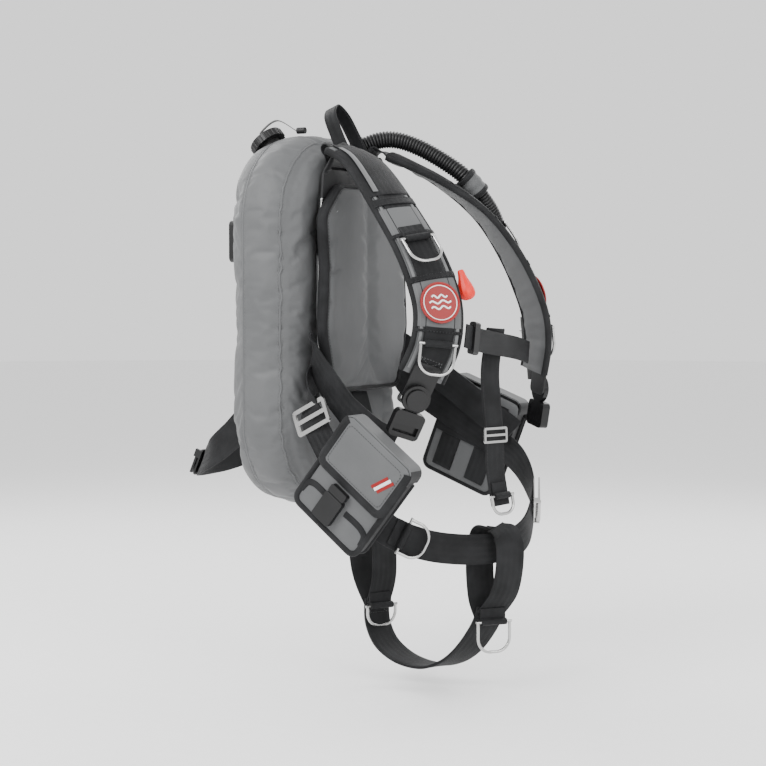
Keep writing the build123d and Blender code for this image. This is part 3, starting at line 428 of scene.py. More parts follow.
# Waist belt from the right of the plate, round the front, to the left
WAIST = [
    ((-116, -1, -178), (0, 0, 1)),
    ((-148, 0, -186), (0, 0, 1)),
    ((-170, -10, -216), (0, 0, 1)),
    ((-175, -30, -262), (0, 0, 1)),
    ((-175, -80, -336), (0, 0, 1)),
    ((-160, -140, -410), (0, 0, 1)),
    ((-116, -186, -442), (0, 0, 1)),
    ((-60, -228, -456), (0, 0, 1)),
    ((0, -266, -458), (0, 0, 1)),
    ((45, -290, -444), (0, 0, 1)),
    ((88, -288, -412), (0, 0, 1)),
    ((128, -268, -368), (0, 0, 1)),
    ((160, -222, -322), (0, 0, 1)),
    ((175, -150, -284), (0, 0, 1)),
    ((175, -70, -240), (0, 0, 1)),
    ((170, -16, -206), (0, 0, 1)),
    ((148, 0, -184), (0, 0, 1)),
    ((116, -1, -178), (0, 0, 1)),
]

CENTRE_STRAP = [
    ((0, -262, -96), (0.9, -0.43, 0)),
    ((0, -252, -160), (0.9, -0.43, 0)),
    ((0, -254, -210), (0.9, -0.43, 0)),
    ((0, -260, -270), (0.9, -0.43, 0)),
    ((0, -262, -330), (0.9, -0.43, 0)),
    ((0, -272, -388), (0.9, -0.43, 0)),
]
CHEST_STRAP = [
    ((-116, -268, -106), (0, 0, 1)),
    ((-60, -271, -116), (0, 0, 1)),
    ((60, -271, -130), (0, 0, 1)),
    ((118, -268, -140), (0, 0, 1)),
]

CROTCH_REAR = [
    ((0, 2, -208), (1, 0, 0)),
    ((0, 1, -400), (0.96, -0.28, 0)),
    ((0, -12, -510), (0.9, -0.43, 0)),
    ((0, -36, -566), (0.9, -0.43, 0)),
]
CROTCH_INNER = [
    ((0, -3, -208), (1, 0, 0)),
    ((0, -44, -400), (0.9, -0.43, 0)),
    ((0, -54, -510), (0.9, -0.43, 0)),
    ((0, -42, -566), (0.9, -0.43, 0)),
]
CROTCH_SWEEP = [
    ((0, -39, -560), (0.9, -0.43, 0)),
    ((0, -40, -600), (0.9, -0.43, 0)),
    ((0, -58, -636), (0.9, -0.43, 0)),
    ((0, -96, -660), (0.9, -0.43, 0)),
    ((0, -143, -667), (0.88, -0.47, 0)),
    ((0, -184, -655), (0.85, -0.52, 0)),
    ((0, -218, -628), (0.8, -0.6, 0)),
    ((0, -246, -588), (0.78, -0.62, 0)),
    ((0, -256, -560), (0.78, -0.62, 0)),
]
CROTCH_FRONT = [
    ((0, -252, -572), (0.78, -0.62, 0)),
    ((0, -282, -530), (0.78, -0.62, 0)),
    ((0, -292, -470), (0.78, -0.62, 0)),
    ((0, -284, -434), (0.78, -0.62, 0)),
    ((0, -264, -424), (0.78, -0.62, 0)),
    ((0, -244, -434), (0.78, -0.62, 0)),
    ((0, -236, -480), (0.78, -0.62, 0)),
    ((0, -240, -540), (0.78, -0.62, 0)),
    ((0, -252, -572), (0.78, -0.62, 0)),
]

# Half of each band that holds the cylinder, from the plate back to the middle
LOWER_BAND = [
    ((56, 24, -170), (0, -0.3, 0.95)),
    ((55, 110, -202), (0, -0.35, 0.94)),
    ((56, 165, -238), (0, -0.4, 0.9)),
    ((60, 215, -284), (0, -0.4, 0.9)),
    ((56, 266, -322), (0, -0.4, 0.9)),
    ((36, 300, -340), (0, -0.4, 0.9)),
    ((14, 311, -345), (0, -0.4, 0.9)),
]
UPPER_BAND = [
    ((58, 24, 52), (0, 0, 1)),
    ((60, 120, 52), (0, 0, 1)),
    ((56, 180, 52), (0, 0, 1)),
    ((40, 222, 52), (0, 0, 1)),
    ((14, 237, 52), (0, 0, 1)),
]

# Inflator hose: from the elbow on the air cell over the left shoulder
HOSE_D = 0.030
HOSE = [
    (64, 20, 217),
    (70, 2, 226),
    (84, -30, 227),
    (100, -64, 214),
    (116, -100, 192),
    (133, -136, 165),
    (158, -158, 128),
    (187, -169, 93),
    (197, -176, 54),
    (201, -196, 12),
    (204, -216, -28),
    (206, -227, -64),
]
HANDLE = [
    ((30, 7, 197), (0, 1, -0.4)),
    ((28, 24, 230), (0, 1, -0.4)),
    ((22, 40, 262), (0, 1, -0.4)),
    ((0, 47, 278), (0, 1, -0.4)),
    ((-22, 40, 262), (0, 1, -0.4)),
    ((-28, 24, 230), (0, 1, -0.4)),
    ((-30, 7, 197), (0, 1, -0.4)),
]

# %% Smooth samples along a route
def smooth(route, steps):
    """(point, across, out, along) at even steps on a curve through every entry of a route."""
    points = [Vector(point) * MM for point, width in route]
    widths = [Vector(width).normalized() for point, width in route]
    samples = []
    last = len(points) - 1
    for i in range(last):
        before, after = points[max(i - 1, 0)], points[min(i + 2, last)]
        pull_in = (points[i + 1] - before) * 0.5 * (1 if i else 0.6)
        pull_out = (after - points[i]) * 0.5 * (1 if i < last - 1 else 0.6)
        for k in range(steps + (1 if i == last - 1 else 0)):
            t = k / steps
            start, end = 2 * t**3 - 3 * t**2 + 1, 3 * t**2 - 2 * t**3
            place = points[i] * start + points[i + 1] * end
            place += pull_in * (t**3 - 2 * t**2 + t) + pull_out * (t**3 - t**2)
            samples.append((place, widths[i].lerp(widths[i + 1], t)))
    frames = []
    for i, (place, width) in enumerate(samples):
        along = samples[min(i + 1, len(samples) - 1)][0] - samples[max(i - 1, 0)][0]
        along.normalize()
        across = (width - along * width.dot(along)).normalized()
        frames.append((place, across, along.cross(across), along))
    return frames


def between(frames, top, bottom):
    """The frames of a downward route from one height to another, in millimetres."""
    return [entry for entry in frames if bottom * MM <= entry[0].z <= top * MM]


# %% Cloth skins: rows of points become a mesh with a UV map in metres
def skin(name, rows):
    """A grid primitive whose points are moved onto rows of points."""
    across, along = len(rows[0]) - 1, len(rows) - 1
    bpy.ops.object.select_all(action="DESELECT")
    bpy.ops.mesh.primitive_grid_add(x_subdivisions=across, y_subdivisions=along, size=1)
    piece = bpy.context.object
    piece.name = name
    mesh = piece.data
    middle_row, middle = rows[along // 2], across // 2
    run_x, run_y = [0.0], [0.0]
    for i in range(across):
        run_x.append(run_x[-1] + (middle_row[i + 1] - middle_row[i]).length)
    for j in range(along):
        run_y.append(run_y[-1] + (rows[j + 1][middle] - rows[j][middle]).length)
    spots = [(round((v.co.x + 0.5) * across), round((v.co.y + 0.5) * along)) for v in mesh.vertices]
    for loop, uv in zip(mesh.loops, mesh.uv_layers[0].data):
        i, j = spots[loop.vertex_index]
        uv.uv = (run_x[i], run_y[j])
    for vertex, (i, j) in zip(mesh.vertices, spots):
        vertex.co = rows[j][i]
    return piece


def close_up(piece, merge=1e-5):
    """Merge the seam, fill the ends and turn every face outwards."""
    bpy.ops.object.select_all(action="DESELECT")
    bpy.context.view_layer.objects.active = piece
    piece.select_set(True)
    bpy.ops.object.mode_set(mode="EDIT")
    bpy.ops.mesh.select_mode(type="VERT")
    bpy.ops.mesh.select_all(action="SELECT")
    bpy.ops.mesh.remove_doubles(threshold=merge)
    bpy.ops.mesh.fill_holes(sides=0)
    bpy.ops.mesh.select_all(action="SELECT")
    bpy.ops.mesh.normals_make_consistent(inside=False)
    bpy.ops.object.mode_set(mode="OBJECT")


def modify(piece, kind, **settings):
    """Add a modifier with its settings and apply it."""
    bpy.ops.object.select_all(action="DESELECT")
    bpy.context.view_layer.objects.active = piece
    piece.select_set(True)
    modifier = piece.modifiers.new(kind.lower(), kind)
    for key, value in settings.items():
        setattr(modifier, key, value)
    bpy.ops.object.modifier_apply(modifier=modifier.name)


def copy_of(node_name, name):
    """A loose copy of one of the frame's parts, with its doubled points merged."""
    piece = nodes[node_name].copy()
    piece.data = nodes[node_name].data.copy()
    piece.name = name
    piece.parent = None
    for key in list(piece.keys()):
        del piece[key]
    bpy.context.scene.collection.objects.link(piece)
    modify(piece, "WELD", merge_threshold=1e-5)
    return piece


def select_faces(piece, wanted):
    """Select only the faces of a piece that pass a test."""
    bpy.ops.object.mode_set(mode="EDIT")
    bpy.ops.mesh.select_mode(type="FACE")
    bpy.ops.mesh.select_all(action="DESELECT")
    bpy.ops.object.mode_set(mode="OBJECT")
    for face in piece.data.polygons:
        face.select = wanted(face)
    bpy.ops.object.mode_set(mode="EDIT")


def finished(piece, material, slot, *replaced, body="harness", angle=40):
    """Shade a piece, give it its finish, and hang it on its body in place of CAD solids."""
    bpy.ops.object.select_all(action="DESELECT")
    bpy.context.view_layer.objects.active = piece
    piece.select_set(True)
    bpy.ops.object.shade_smooth_by_angle(angle=radians(angle))
    piece.data.materials.clear()
    piece.data.materials.append(material)
    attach(piece, body)
    if replaced:
        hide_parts(*replaced)
    return piece


def strap(name, frames, width, lift=0.0, thickness=WEB_T, shift=0.0, drop=0.0, columns=6, edge=0.4):
    """A flat strap along frames. drop is how far its edges fall below its middle."""
    rows = []
    for place, across, out, along in frames:
        row = []
        for i in range(columns + 1):
            share = 2 * i / columns - 1
            height = lift - drop * abs(share)**3
            row.append(place + across * (shift + share * width / 2) + out * height)
        rows.append(row)
    piece = skin(name, rows)
    modify(piece, "SOLIDIFY", thickness=thickness, offset=0)
    modify(piece, "BEVEL", width=thickness * edge, segments=2, limit_method="ANGLE", angle_limit=radians(50))
    return piece


def joined(name, pieces):
    """Join pieces of one strap into one object."""
    bpy.ops.object.select_all(action="DESELECT")
    for piece in pieces:
        piece.select_set(True)
    bpy.context.view_layer.objects.active = pieces[0]
    bpy.ops.object.join()
    pieces[0].name = name
    return pieces[0]


# %% Round and oval tubes along a line
def tube(name, frames, half_width, half_height, sides=12, shift=0.0, lift=0.0, closed=False):
    """A rounded bead along frames, such as binding tape over an edge."""
    rows = []
    for place, across, out, along in frames:
        centre = place + across * shift + out * lift
        row = []
        for i in range(sides + 1):
            angle = 2 * pi * (i % sides) / sides
            row.append(centre + across * cos(angle) * half_width + out * sin(angle) * half_height)
        rows.append(row)
    if closed:
        rows.append([point.copy() for point in rows[0]])
    piece = skin(name, rows)
    close_up(piece)
    return piece


def line_frames(points, out, closed=False):
    """Frames along a line of points that lies on a surface whose outward direction is known."""
    frames = []
    count = len(points)
    for i, point in enumerate(points):
        if closed:
            along = points[(i + 1) % count] - points[i - 1]
        else:
            along = points[min(i + 1, count - 1)] - points[max(i - 1, 0)]
        along.normalize()
        across = along.cross(out).normalized()
        frames.append((point, across, along.cross(across) * -1, along))
    return frames


# %% Thread: one small stitch, copied along a line
STITCH = [(-0.5, 0, 0), (-0.3, 1, 0), (-0.3, -0.5, 0.87), (-0.3, -0.5, -0.87),
          (0.3, 1, 0), (0.3, -0.5, 0.87), (0.3, -0.5, -0.87), (0.5, 0, 0)]
STITCH_FACES = [(0, 2, 1), (0, 3, 2), (0, 1, 3), (1, 2, 5, 4), (2, 3, 6, 5), (3, 1, 4, 6),
                (4, 5, 7), (5, 6, 7), (6, 4, 7)]


def stitches(name, lines, material=black_thread, slot="webbing", body="harness",
             length=0.0036, gap=0.0016, radius=0.00045):
    """Short threads end to end along lines of (point, out) pairs."""
    points, faces = [], []
    for line in lines:
        room = 0.0
        for (a, out), (b, _) in zip(line, line[1:]):
            span = (b - a).length
            if span < 1e-7:
                continue
            along = (b - a) / span
            side = along.cross(out).normalized()
            rise = side.cross(along)
            while room < span:
                centre = a + along * room
                first = len(points)
                for x, y, z in STITCH:
                    points.append(centre + along * x * length + rise * (y * radius) + side * (z * radius))
                faces.extend(tuple(first + k for k in face) for face in STITCH_FACES)
                room += length + gap
            room -= span
    mesh = bpy.data.meshes.new(name)
    mesh.from_pydata(points, [], faces)
    piece = bpy.data.objects.new(name, mesh)
    bpy.context.scene.collection.objects.link(piece)
    print(name, len(points) // 8, "stitches")
    return finished(piece, material, slot, body=body, angle=60)


def strap_lines(frames, offsets, lift):
    """Stitch lines along a strap at distances across it, on its outer face."""
    return [[(point + across * offset + out * lift, out) for point, across, out, along in frames]
            for offset in offsets]


def stitch_box(place, across, out, along, half_width, half_length, lift):
    """A sewn rectangle with a cross in it, as on a load-bearing seam."""
    def corner(x, y):
        return (place + across * x * half_width + along * y * half_length + out * lift, out)
    ring = [corner(-1, -1), corner(1, -1), corner(1, 1), corner(-1, 1), corner(-1, -1)]
    return [ring, [corner(-1, -1), corner(1, 1)], [corner(-1, 1), corner(1, -1)]]


# %% [markdown]
# ## The inflator hose
# A corrugated rubber hose is a row of round ridges. Its line is one smooth curve through the
# air, and the ridges are rings whose radius rises and falls along the curve's length.

# %% The hose's line
route_data = bpy.data.curves.new("hose_route", "CURVE")
route_data.dimensions = "3D"
spline = route_data.splines.new("NURBS")
spline.points.add(len(HOSE) - 1)
for control, point in zip(spline.points, HOSE):
    control.co = (*[v * MM for v in point], 1)
spline.order_u = 3
spline.use_endpoint_u = True
route_data.resolution_u = 24
route_object = bpy.data.objects.new("hose_route", route_data)
bpy.context.scene.collection.objects.link(route_object)
line_mesh = bpy.data.meshes.new_from_object(route_object)
hose_line = [vertex.co.copy() for vertex in line_mesh.vertices]
bpy.data.objects.remove(route_object)
hose_length = sum((b - a).length for a, b in zip(hose_line, hose_line[1:]))
print("hose line", len(hose_line), "points", round(hose_length, 3), "m")


def along_line(line, step, start=0.0, end=None):
    """Even points along a line, from one length along it to another."""
    total = sum((b - a).length for a, b in zip(line, line[1:]))
    end = total if end is None else end
    wanted = [start + i * step for i in range(int((end - start) / step) + 1)]
    points, travelled, k = [], 0.0, 0
    for distance in wanted:
        while k < len(line) - 2 and travelled + (line[k + 1] - line[k]).length < distance:
            travelled += (line[k + 1] - line[k]).length
            k += 1
        span = (line[k + 1] - line[k]).length
        points.append(line[k].lerp(line[k + 1], (distance - travelled) / span))
    return points


# %% The hose's ridges
RIDGE_PITCH, RIDGE_DEPTH = 0.0052, 0.0021
ridge_points = along_line(hose_line, RIDGE_PITCH / 8)
hose_frames = line_frames(ridge_points, Vector((1, -0.3, 0.2)).normalized())
rows = []
for index, (place, across, out, along) in enumerate(hose_frames):
    wave = 0.5 - 0.5 * cos(2 * pi * index / 8)
    radius = HOSE_D / 2 - RIDGE_DEPTH + RIDGE_DEPTH * wave**0.6
    rows.append([place + (across * cos(2 * pi * (i % 32) / 32) + out * sin(2 * pi * (i % 32) / 32)) * radius
                 for i in range(33)])
hose = skin("inflator_hose", rows)
close_up(hose)
finished(hose, hose_rubber, "hose_rubber", "corrugated_hose", angle=50)
print("hose faces", len(hose.data.polygons))

# %% [markdown]
# ## The air cell
# The cell is two sheets of coated nylon sewn round a bladder and blown full. The bladder's own
# shape is remeshed in even faces, its seams are held still, and air pressure swells the cloth
# between them. The cloth is a little larger than the shape, so it puckers beside each seam.

# %% Start from the bladder's shape
CELL_MIDDLE_Z, CELL_HALF_W, CELL_HALF_H, CELL_CORNER = -0.0855, 0.190, 0.3125, 0.150
SEAM_DEPTHS = (0.031, 0.109)
SWELL_LIMIT = 0.008
cell = copy_of("inner_bladder", "air_cell")
modify(cell, "REMESH", mode="VOXEL", voxel_size=0.0062)
modify(cell, "SMOOTH", factor=0.5, iterations=3)
print("air cell faces", len(cell.data.polygons))


# %% Blow it up between its seams
def on_outer_wall(point):
    """Whether a point is on the cell's outside, and not in the well round the cylinder."""
    return abs(point.x) > 0.100 or not -0.315 < point.z < 0.150


def swell(piece, held, pressure, limit, growth, frames_run=16):
    """Cloth pressure with some points held, no point moving further than a limit."""
    before = [vertex.co.copy() for vertex in piece.data.vertices]
    group = piece.vertex_groups.new(name="held")
    group.add(held, 1.0, "REPLACE")
    cloth = piece.modifiers.new("cloth", "CLOTH")
    cloth.settings.vertex_group_mass = "held"
    cloth.settings.quality = 5
    cloth.settings.use_pressure = True
    cloth.settings.uniform_pressure_force = pressure
    cloth.settings.shrink_min = -growth
    cloth.settings.effector_weights.gravity = 0
    cloth.collision_settings.use_self_collision = False
    cloth.point_cache.frame_end = frames_run
    for step in range(1, frames_run + 1):
        bpy.context.scene.frame_set(step)
    bpy.ops.object.select_all(action="DESELECT")
    bpy.context.view_layer.objects.active = piece
    piece.select_set(True)
    bpy.ops.object.modifier_apply(modifier="cloth")
    bpy.context.scene.frame_set(1)
    furthest = 0.0
    for vertex, start in zip(piece.data.vertices, before):
        move = vertex.co - start
        furthest = max(furthest, move.length)
        if move.length > limit:
            vertex.co = start + move.normalized() * limit
    piece.vertex_groups.clear()
    print(piece.name, "swelled, furthest point moved", round(furthest, 4))


held = [v.index for v in cell.data.vertices
        if on_outer_wall(v.co) and min(abs(v.co.y - depth) for depth in SEAM_DEPTHS) < 0.0034]
swell(cell, held, 4.0, SWELL_LIMIT, 0.035)
modify(cell, "SUBSURF", levels=1, render_levels=1)
finished(cell, cell_cloth, "cell_nylon", "air_cell_cover", "inner_bladder", angle=80)


# %% Double stitching beside each seam
def rounded_outline(half_w, half_h, corner, centre_x, centre_z, spacing=0.006):
    """(x, z) points round a rectangle with round corners."""
    straight_w, straight_h = half_w - corner, half_h - corner
    corners = [(1, 1, 0), (-1, 1, pi / 2), (-1, -1, pi), (1, -1, 3 * pi / 2)]
    points = []
    for side_x, side_z, start in corners:
        turns = max(3, round(corner * pi / 2 / spacing))
        for k in range(turns + 1):
            angle = start + pi / 2 * k / turns
            points.append((centre_x + side_x * straight_w + corner * cos(angle),
                           centre_z + side_z * straight_h + corner * sin(angle)))
    filled = []
    for (x0, z0), (x1, z1) in zip(points, points[1:] + points[:1]):
        pieces = max(1, round(((x1 - x0)**2 + (z1 - z0)**2)**0.5 / spacing))
        filled += [(x0 + (x1 - x0) * k / pieces, z0 + (z1 - z0) * k / pieces) for k in range(pieces)]
    return filled


def snapped(surface, points):
    """(point, out) pairs where points land on a surface."""
    line = []
    for point in points:
        line.append(tuple(surface.closest_point_on_mesh(point)[1:3]))
    return line


seam_outline = rounded_outline(CELL_HALF_W, CELL_HALF_H, CELL_CORNER, 0, CELL_MIDDLE_Z)
seam_outline.append(seam_outline[0])
seam_lines = []
for depth in SEAM_DEPTHS:
    for side in (-0.004, 0.004):
        seam_lines.append(snapped(cell, [Vector((x, depth + side, z)) for x, z in seam_outline]))
stitches("cell_seam_stitches", seam_lines, grey_thread, "cell_nylon", length=0.0042, radius=0.0006)

# %% A raised ridge of doubled cloth along each seam
for number, depth in enumerate(SEAM_DEPTHS):
    ridge = snapped(cell, [Vector((x, depth, z)) for x, z in seam_outline[:-1]])
    ridge_frames = []
    for k, (place, out) in enumerate(ridge):
        along = (ridge[(k + 1) % len(ridge)][0] - ridge[k - 1][0]).normalized()
        ridge_frames.append((place, along.cross(out).normalized(), out, along))
    bead = tube(f"cell_seam_{number + 1}", ridge_frames, 0.0019, 0.0011, sides=8, closed=True)
    finished(bead, cell_cloth, "cell_nylon", angle=60)

# %% The flat panel between the two halves, in front of the cylinder
panel_rows = []
for k in range(41):
    z = -0.318 + 0.470 * k / 40
    panel_rows.append([Vector((x / 10 * 0.105, 0.0112 + 0.0006 * sin(x * 1.7 + k * 0.9), z))
                       for x in range(-10, 11)])
panel = skin("cell_middle_panel", panel_rows)
modify(panel, "SOLIDIFY", thickness=0.0012, offset=0)
finished(panel, cell_cloth, "cell_nylon")
for number, z in enumerate((0.1397, -0.1397)):
    bpy.ops.object.select_all(action="DESELECT")
    bpy.ops.mesh.primitive_torus_add(major_radius=0.0085, minor_radius=0.0018, major_segments=40,
                                     minor_segments=12, location=(0, 0.0125, z), rotation=(pi / 2, 0, 0))
    bpy.ops.object.transform_apply()
    grommet = bpy.context.object
    grommet.name = f"bolt_grommet_{number + 1}"
    finished(grommet, steel, "steel")

# %% [markdown]
# ## The back pad
# Foam under grey cloth, bound in black tape. It swells between its bound edge and the quilting
# lines, so those points are held while the rest puffs out.

# %% Foam and cloth
pad = copy_of("back_pad", "quilted_back_pad")
modify(pad, "REMESH", mode="VOXEL", voxel_size=0.0045)
modify(pad, "SMOOTH", factor=0.5, iterations=4)
held = [v.index for v in pad.data.vertices if v.co.y > -0.006 or abs(v.co.x) < 0.004]
swell(pad, held, 4.0, 0.006, 0.03, 12)
finished(pad, grey_cloth, "pad_nylon", "back_pad", angle=80)

# %% A black cloth sleeve over the top of the plate
SLEEVE_FOOT, SLEEVE_CLOTH = 0.118, 0.0009
plate_sleeve = copy_of("backplate", "plate_top_sleeve")
bpy.ops.object.select_all(action="DESELECT")
plate_sleeve.select_set(True)
bpy.context.view_layer.objects.active = plate_sleeve
bpy.ops.object.mode_set(mode="EDIT")
bpy.ops.mesh.select_all(action="SELECT")
bpy.ops.mesh.bisect(plane_co=(0, 0, SLEEVE_FOOT), plane_no=(0, 0, 1), clear_inner=True, use_fill=True)
bpy.ops.object.mode_set(mode="OBJECT")
modify(plate_sleeve, "DISPLACE", strength=SLEEVE_CLOTH, mid_level=0)
finished(plate_sleeve, black_cloth, "pad_nylon")
print("plate sleeve", [round(v, 3) for v in plate_sleeve.dimensions])

# %% Black tape round its edge
BACK_PAD_OUTLINE = [(-84, 138), (84, 138), (134, 88), (126, 0), (134, -100), (106, -200), (-106, -200),
                    (-134, -100), (-126, 0), (-134, 88)]
CORNER_TRIM, EDGE_Y = 0.014, -0.0124
corners = [Vector((x * MM, EDGE_Y, z * MM)) for x, z in BACK_PAD_OUTLINE]
edge_points = []
for before, corner, after in zip(corners[-1:] + corners[:-1], corners, corners[1:] + corners[:1]):
    start = corner + (before - corner).normalized() * CORNER_TRIM
    end = corner + (after - corner).normalized() * CORNER_TRIM
    for t in (0, 0.2, 0.4, 0.6, 0.8):
        edge_points.append(start * (1 - t)**2 + corner * 2 * t * (1 - t) + end * t**2)
    run = after + (corner - after).normalized() * CORNER_TRIM - end
    pieces = max(1, round(run.length / 0.008))
    edge_points += [end + run * k / pieces for k in range(pieces)]
edge_frames = line_frames(edge_points, Vector((0, -1, 0)), closed=True)
binding = tube("back_pad_binding", edge_frames, 0.0052, 0.0102, sides=16, closed=True)
finished(binding, webbing, "webbing", angle=60)
tape_lines = [[(p + across * shift + Vector((0, -0.0098, 0)), Vector((0, -1, 0)))
               for p, across, out, along in edge_frames] for shift in (0.0038, -0.0038)]
stitches("back_pad_stitches", tape_lines[:1])

# %% [markdown]
# ## Shoulder pads
# Each pad is a long foam sleeve with an oval section, taped along both edges. Webbing runs over
# it, under panels of grey cloth and sewn bands of black webbing that carry the rings.

# %% The pads and their taped edges
PAD_STEPS = 12
pad_frames = {side: smooth(SHOULDER[side], PAD_STEPS) for side in SHOULDER}


def pad_section(place, across, out, swelling, sides=36):
    """A flat oval: a superellipse, which is nearly flat under the webbing and round at its edges."""
    row = []
    for i in range(sides + 1):
        angle = 2 * pi * (i % sides) / sides
        x = abs(cos(angle))**(2 / 3.2) * (1 if cos(angle) >= 0 else -1)
        y = abs(sin(angle))**(2 / 2.6) * (1 if sin(angle) >= 0 else -1)
        height = PAD_T / 2 * y * (1 if y > 0 else 1 + swelling)
        row.append(place + across * x * PAD_W / 2 + out * height)
    return row


for side, frames in pad_frames.items():
    rows = []
    for k, (place, across, out, along) in enumerate(frames):
        rows.append(pad_section(place, across, out, 0.16 * sin(k * 0.52) + 0.08 * sin(k * 1.37 + 1)))
    shoulder = skin(f"{side}_padded_shoulder", rows)
    close_up(shoulder)
    finished(shoulder, grey_cloth, "pad_nylon", f"{side}_shoulder_pad", angle=70)
    for hand, shift in (("inner", -0.0375), ("outer", 0.0375)):
        tape = tube(f"{side}_{hand}_pad_binding", frames, 0.0044, 0.0062, sides=12, shift=shift)
        finished(tape, webbing, "webbing", angle=60)
    for hand, shift in (("inner", -0.0300), ("outer", 0.0300)):
        stretch = between(frames, 130, -165)
        stripe = strap(f"{side}_{hand}_pad_stripe", stretch, 0.0050, 0.0072, 0.0008, shift, columns=2)
        finished(stripe, pale_cloth, "pad_nylon")
    run = strap(f"{side}_shoulder_run", frames, WEB, PAD_FACE + WEB_T / 2, WEB_T)
    finished(run, webbing, "webbing", f"{side}_shoulder_webbing")

# %% Webbing that ties each pad over the plate's top edge
TOP_TIE = [
    ((-86, -27, 184), (0.96, -0.28, 0)),
    ((-80, -12, 203), (0.98, -0.2, 0)),
    ((-72, 3, 205), (1, 0, 0)),
    ((-66, 8, 192), (1, 0, 0)),
    ((-63, 6, 166), (1, 0, 0)),
]
for side, hand in (("right", 1), ("left", -1)):
    tie_route = [((x * hand, y, z), (wx, wy * hand, wz)) for (x, y, z), (wx, wy, wz) in TOP_TIE]
    tie = strap(f"{side}_top_tie", smooth(tie_route, 8), WEB, 0.0, WEB_T)
    finished(tie, webbing, "webbing")

# %% Grey panels and sewn black bands across each pad
UPPER_RING_HEIGHT = {"right": 40, "left": 66}
BADGE_HEIGHT = {"right": -58, "left": -42}
PANEL_LIFT, BAND_LIFT, PANEL_DROP = 0.0108, 0.0118, 0.0066


def end_thread(place, across, out, along, inward, lift):
    """A line of thread across a band, falling away at the pad's edges as the band does."""
    start = place + along * inward
    line = []
    for x in range(-36, 37, 4):
        height = lift + 0.001 - PANEL_DROP * abs(x / 40.5)**3
        line.append((start + across * x * MM + out * height, out))
    return line


for side, frames in pad_frames.items():
    ring, badge = UPPER_RING_HEIGHT[side], BADGE_HEIGHT[side]
    grey = [(ring + 54, ring + 10), (badge + 38, badge - 38)]
    black = [(ring + 150, ring + 72, PANEL_LIFT), (ring + 72, ring + 52, BAND_LIFT),
             (ring + 14, ring + 5, BAND_LIFT), (badge + 48, badge + 36, BAND_LIFT),
             (badge - 36, badge - 47, BAND_LIFT)]
    thread_lines = []
    for number, (top, bottom) in enumerate(grey):
        stretch = between(frames, top, bottom)
        patch = strap(f"{side}_grey_panel_{number + 1}", stretch, PAD_W, PANEL_LIFT, 0.0010,
                      drop=PANEL_DROP, columns=16)
        finished(patch, grey_cloth, "pad_nylon")
    for number, (top, bottom, lift) in enumerate(black):
        stretch = between(frames, top, bottom)
        if len(stretch) < 2:
            continue
        cross = strap(f"{side}_cross_band_{number + 1}", stretch, PAD_W + 0.003, lift, 0.0016,
                      drop=PANEL_DROP, columns=16)
        finished(cross, webbing, "webbing")
        thread_lines.append(end_thread(*stretch[0], 0.0018, lift))
        thread_lines.append(end_thread(*stretch[-1], -0.0018, lift))
    stitches(f"{side}_shoulder_stitches", thread_lines)
    hand = -1 if side == "right" else 1
    arch = between(frames, ring + 150, ring + 74)
    accent = strap(f"{side}_pale_accent", arch, 0.0100, PANEL_LIFT + 0.0008, 0.0008, hand * 0.0255, columns=2)
    finished(accent, pale_cloth, "pad_nylon")

# %% [markdown]
# ## Badges and the pull knob
# A round moulded badge sits on each pad. Its rim, ring and waves are raised shapes of its own.

# %% A round badge with a white ring and three plain waves
def badge_at(side):
    """Red disc, white ring and waves, built flat and then moved onto the pad."""
    frames = pad_frames[side]
    place, across, out, along = min(frames, key=lambda entry: abs(entry[0].z - BADGE_HEIGHT[side] * MM))
    seat = Matrix((across, -along, out)).transposed().to_4x4()
    seat.translation = place + out * 0.0134
    bpy.ops.object.select_all(action="DESELECT")
    bpy.ops.mesh.primitive_cylinder_add(vertices=72, radius=0.0330, depth=0.0026)
    disc = bpy.context.object
    disc.name = f"{side}_badge"
    select_faces(disc, lambda face: face.normal.z > 0.9)
    bpy.ops.mesh.inset(thickness=0.0022, depth=0)
    bpy.ops.mesh.inset(thickness=0.0008, depth=-0.0007)
    bpy.ops.object.mode_set(mode="OBJECT")
    modify(disc, "BEVEL", width=0.0005, segments=2, limit_method="ANGLE")
    disc.data.transform(seat)
    finished(disc, red_badge, "badge_vinyl", *(("shoulder_badges",) if side == "right" else ()))
    bpy.ops.mesh.primitive_torus_add(major_radius=0.0275, minor_radius=0.0007,
                                     major_segments=72, minor_segments=8)
    ring = bpy.context.object
    ring.name = f"{side}_badge_ring"
    ring.data.transform(Matrix.Translation((0, 0, 0.0008)))
    ring.data.transform(seat)
    finished(ring, white_ink, "badge_vinyl")
    waves = []
    for level, half in ((0.010, 0.013), (0.001, 0.018), (-0.008, 0.016)):
        points = [Vector((x / 24 * half, level + 0.0022 * sin(x / 12 * pi), 0.0010)) for x in range(-24, 25)]
        waves.append(tube(f"{side}_wave", line_frames(points, Vector((0, 0, 1))), 0.0013, 0.0006, sides=8))
    mark = joined(f"{side}_badge_waves", waves)
    mark.data.transform(seat)
    finished(mark, white_ink, "badge_vinyl")


badge_at("right")
badge_at("left")

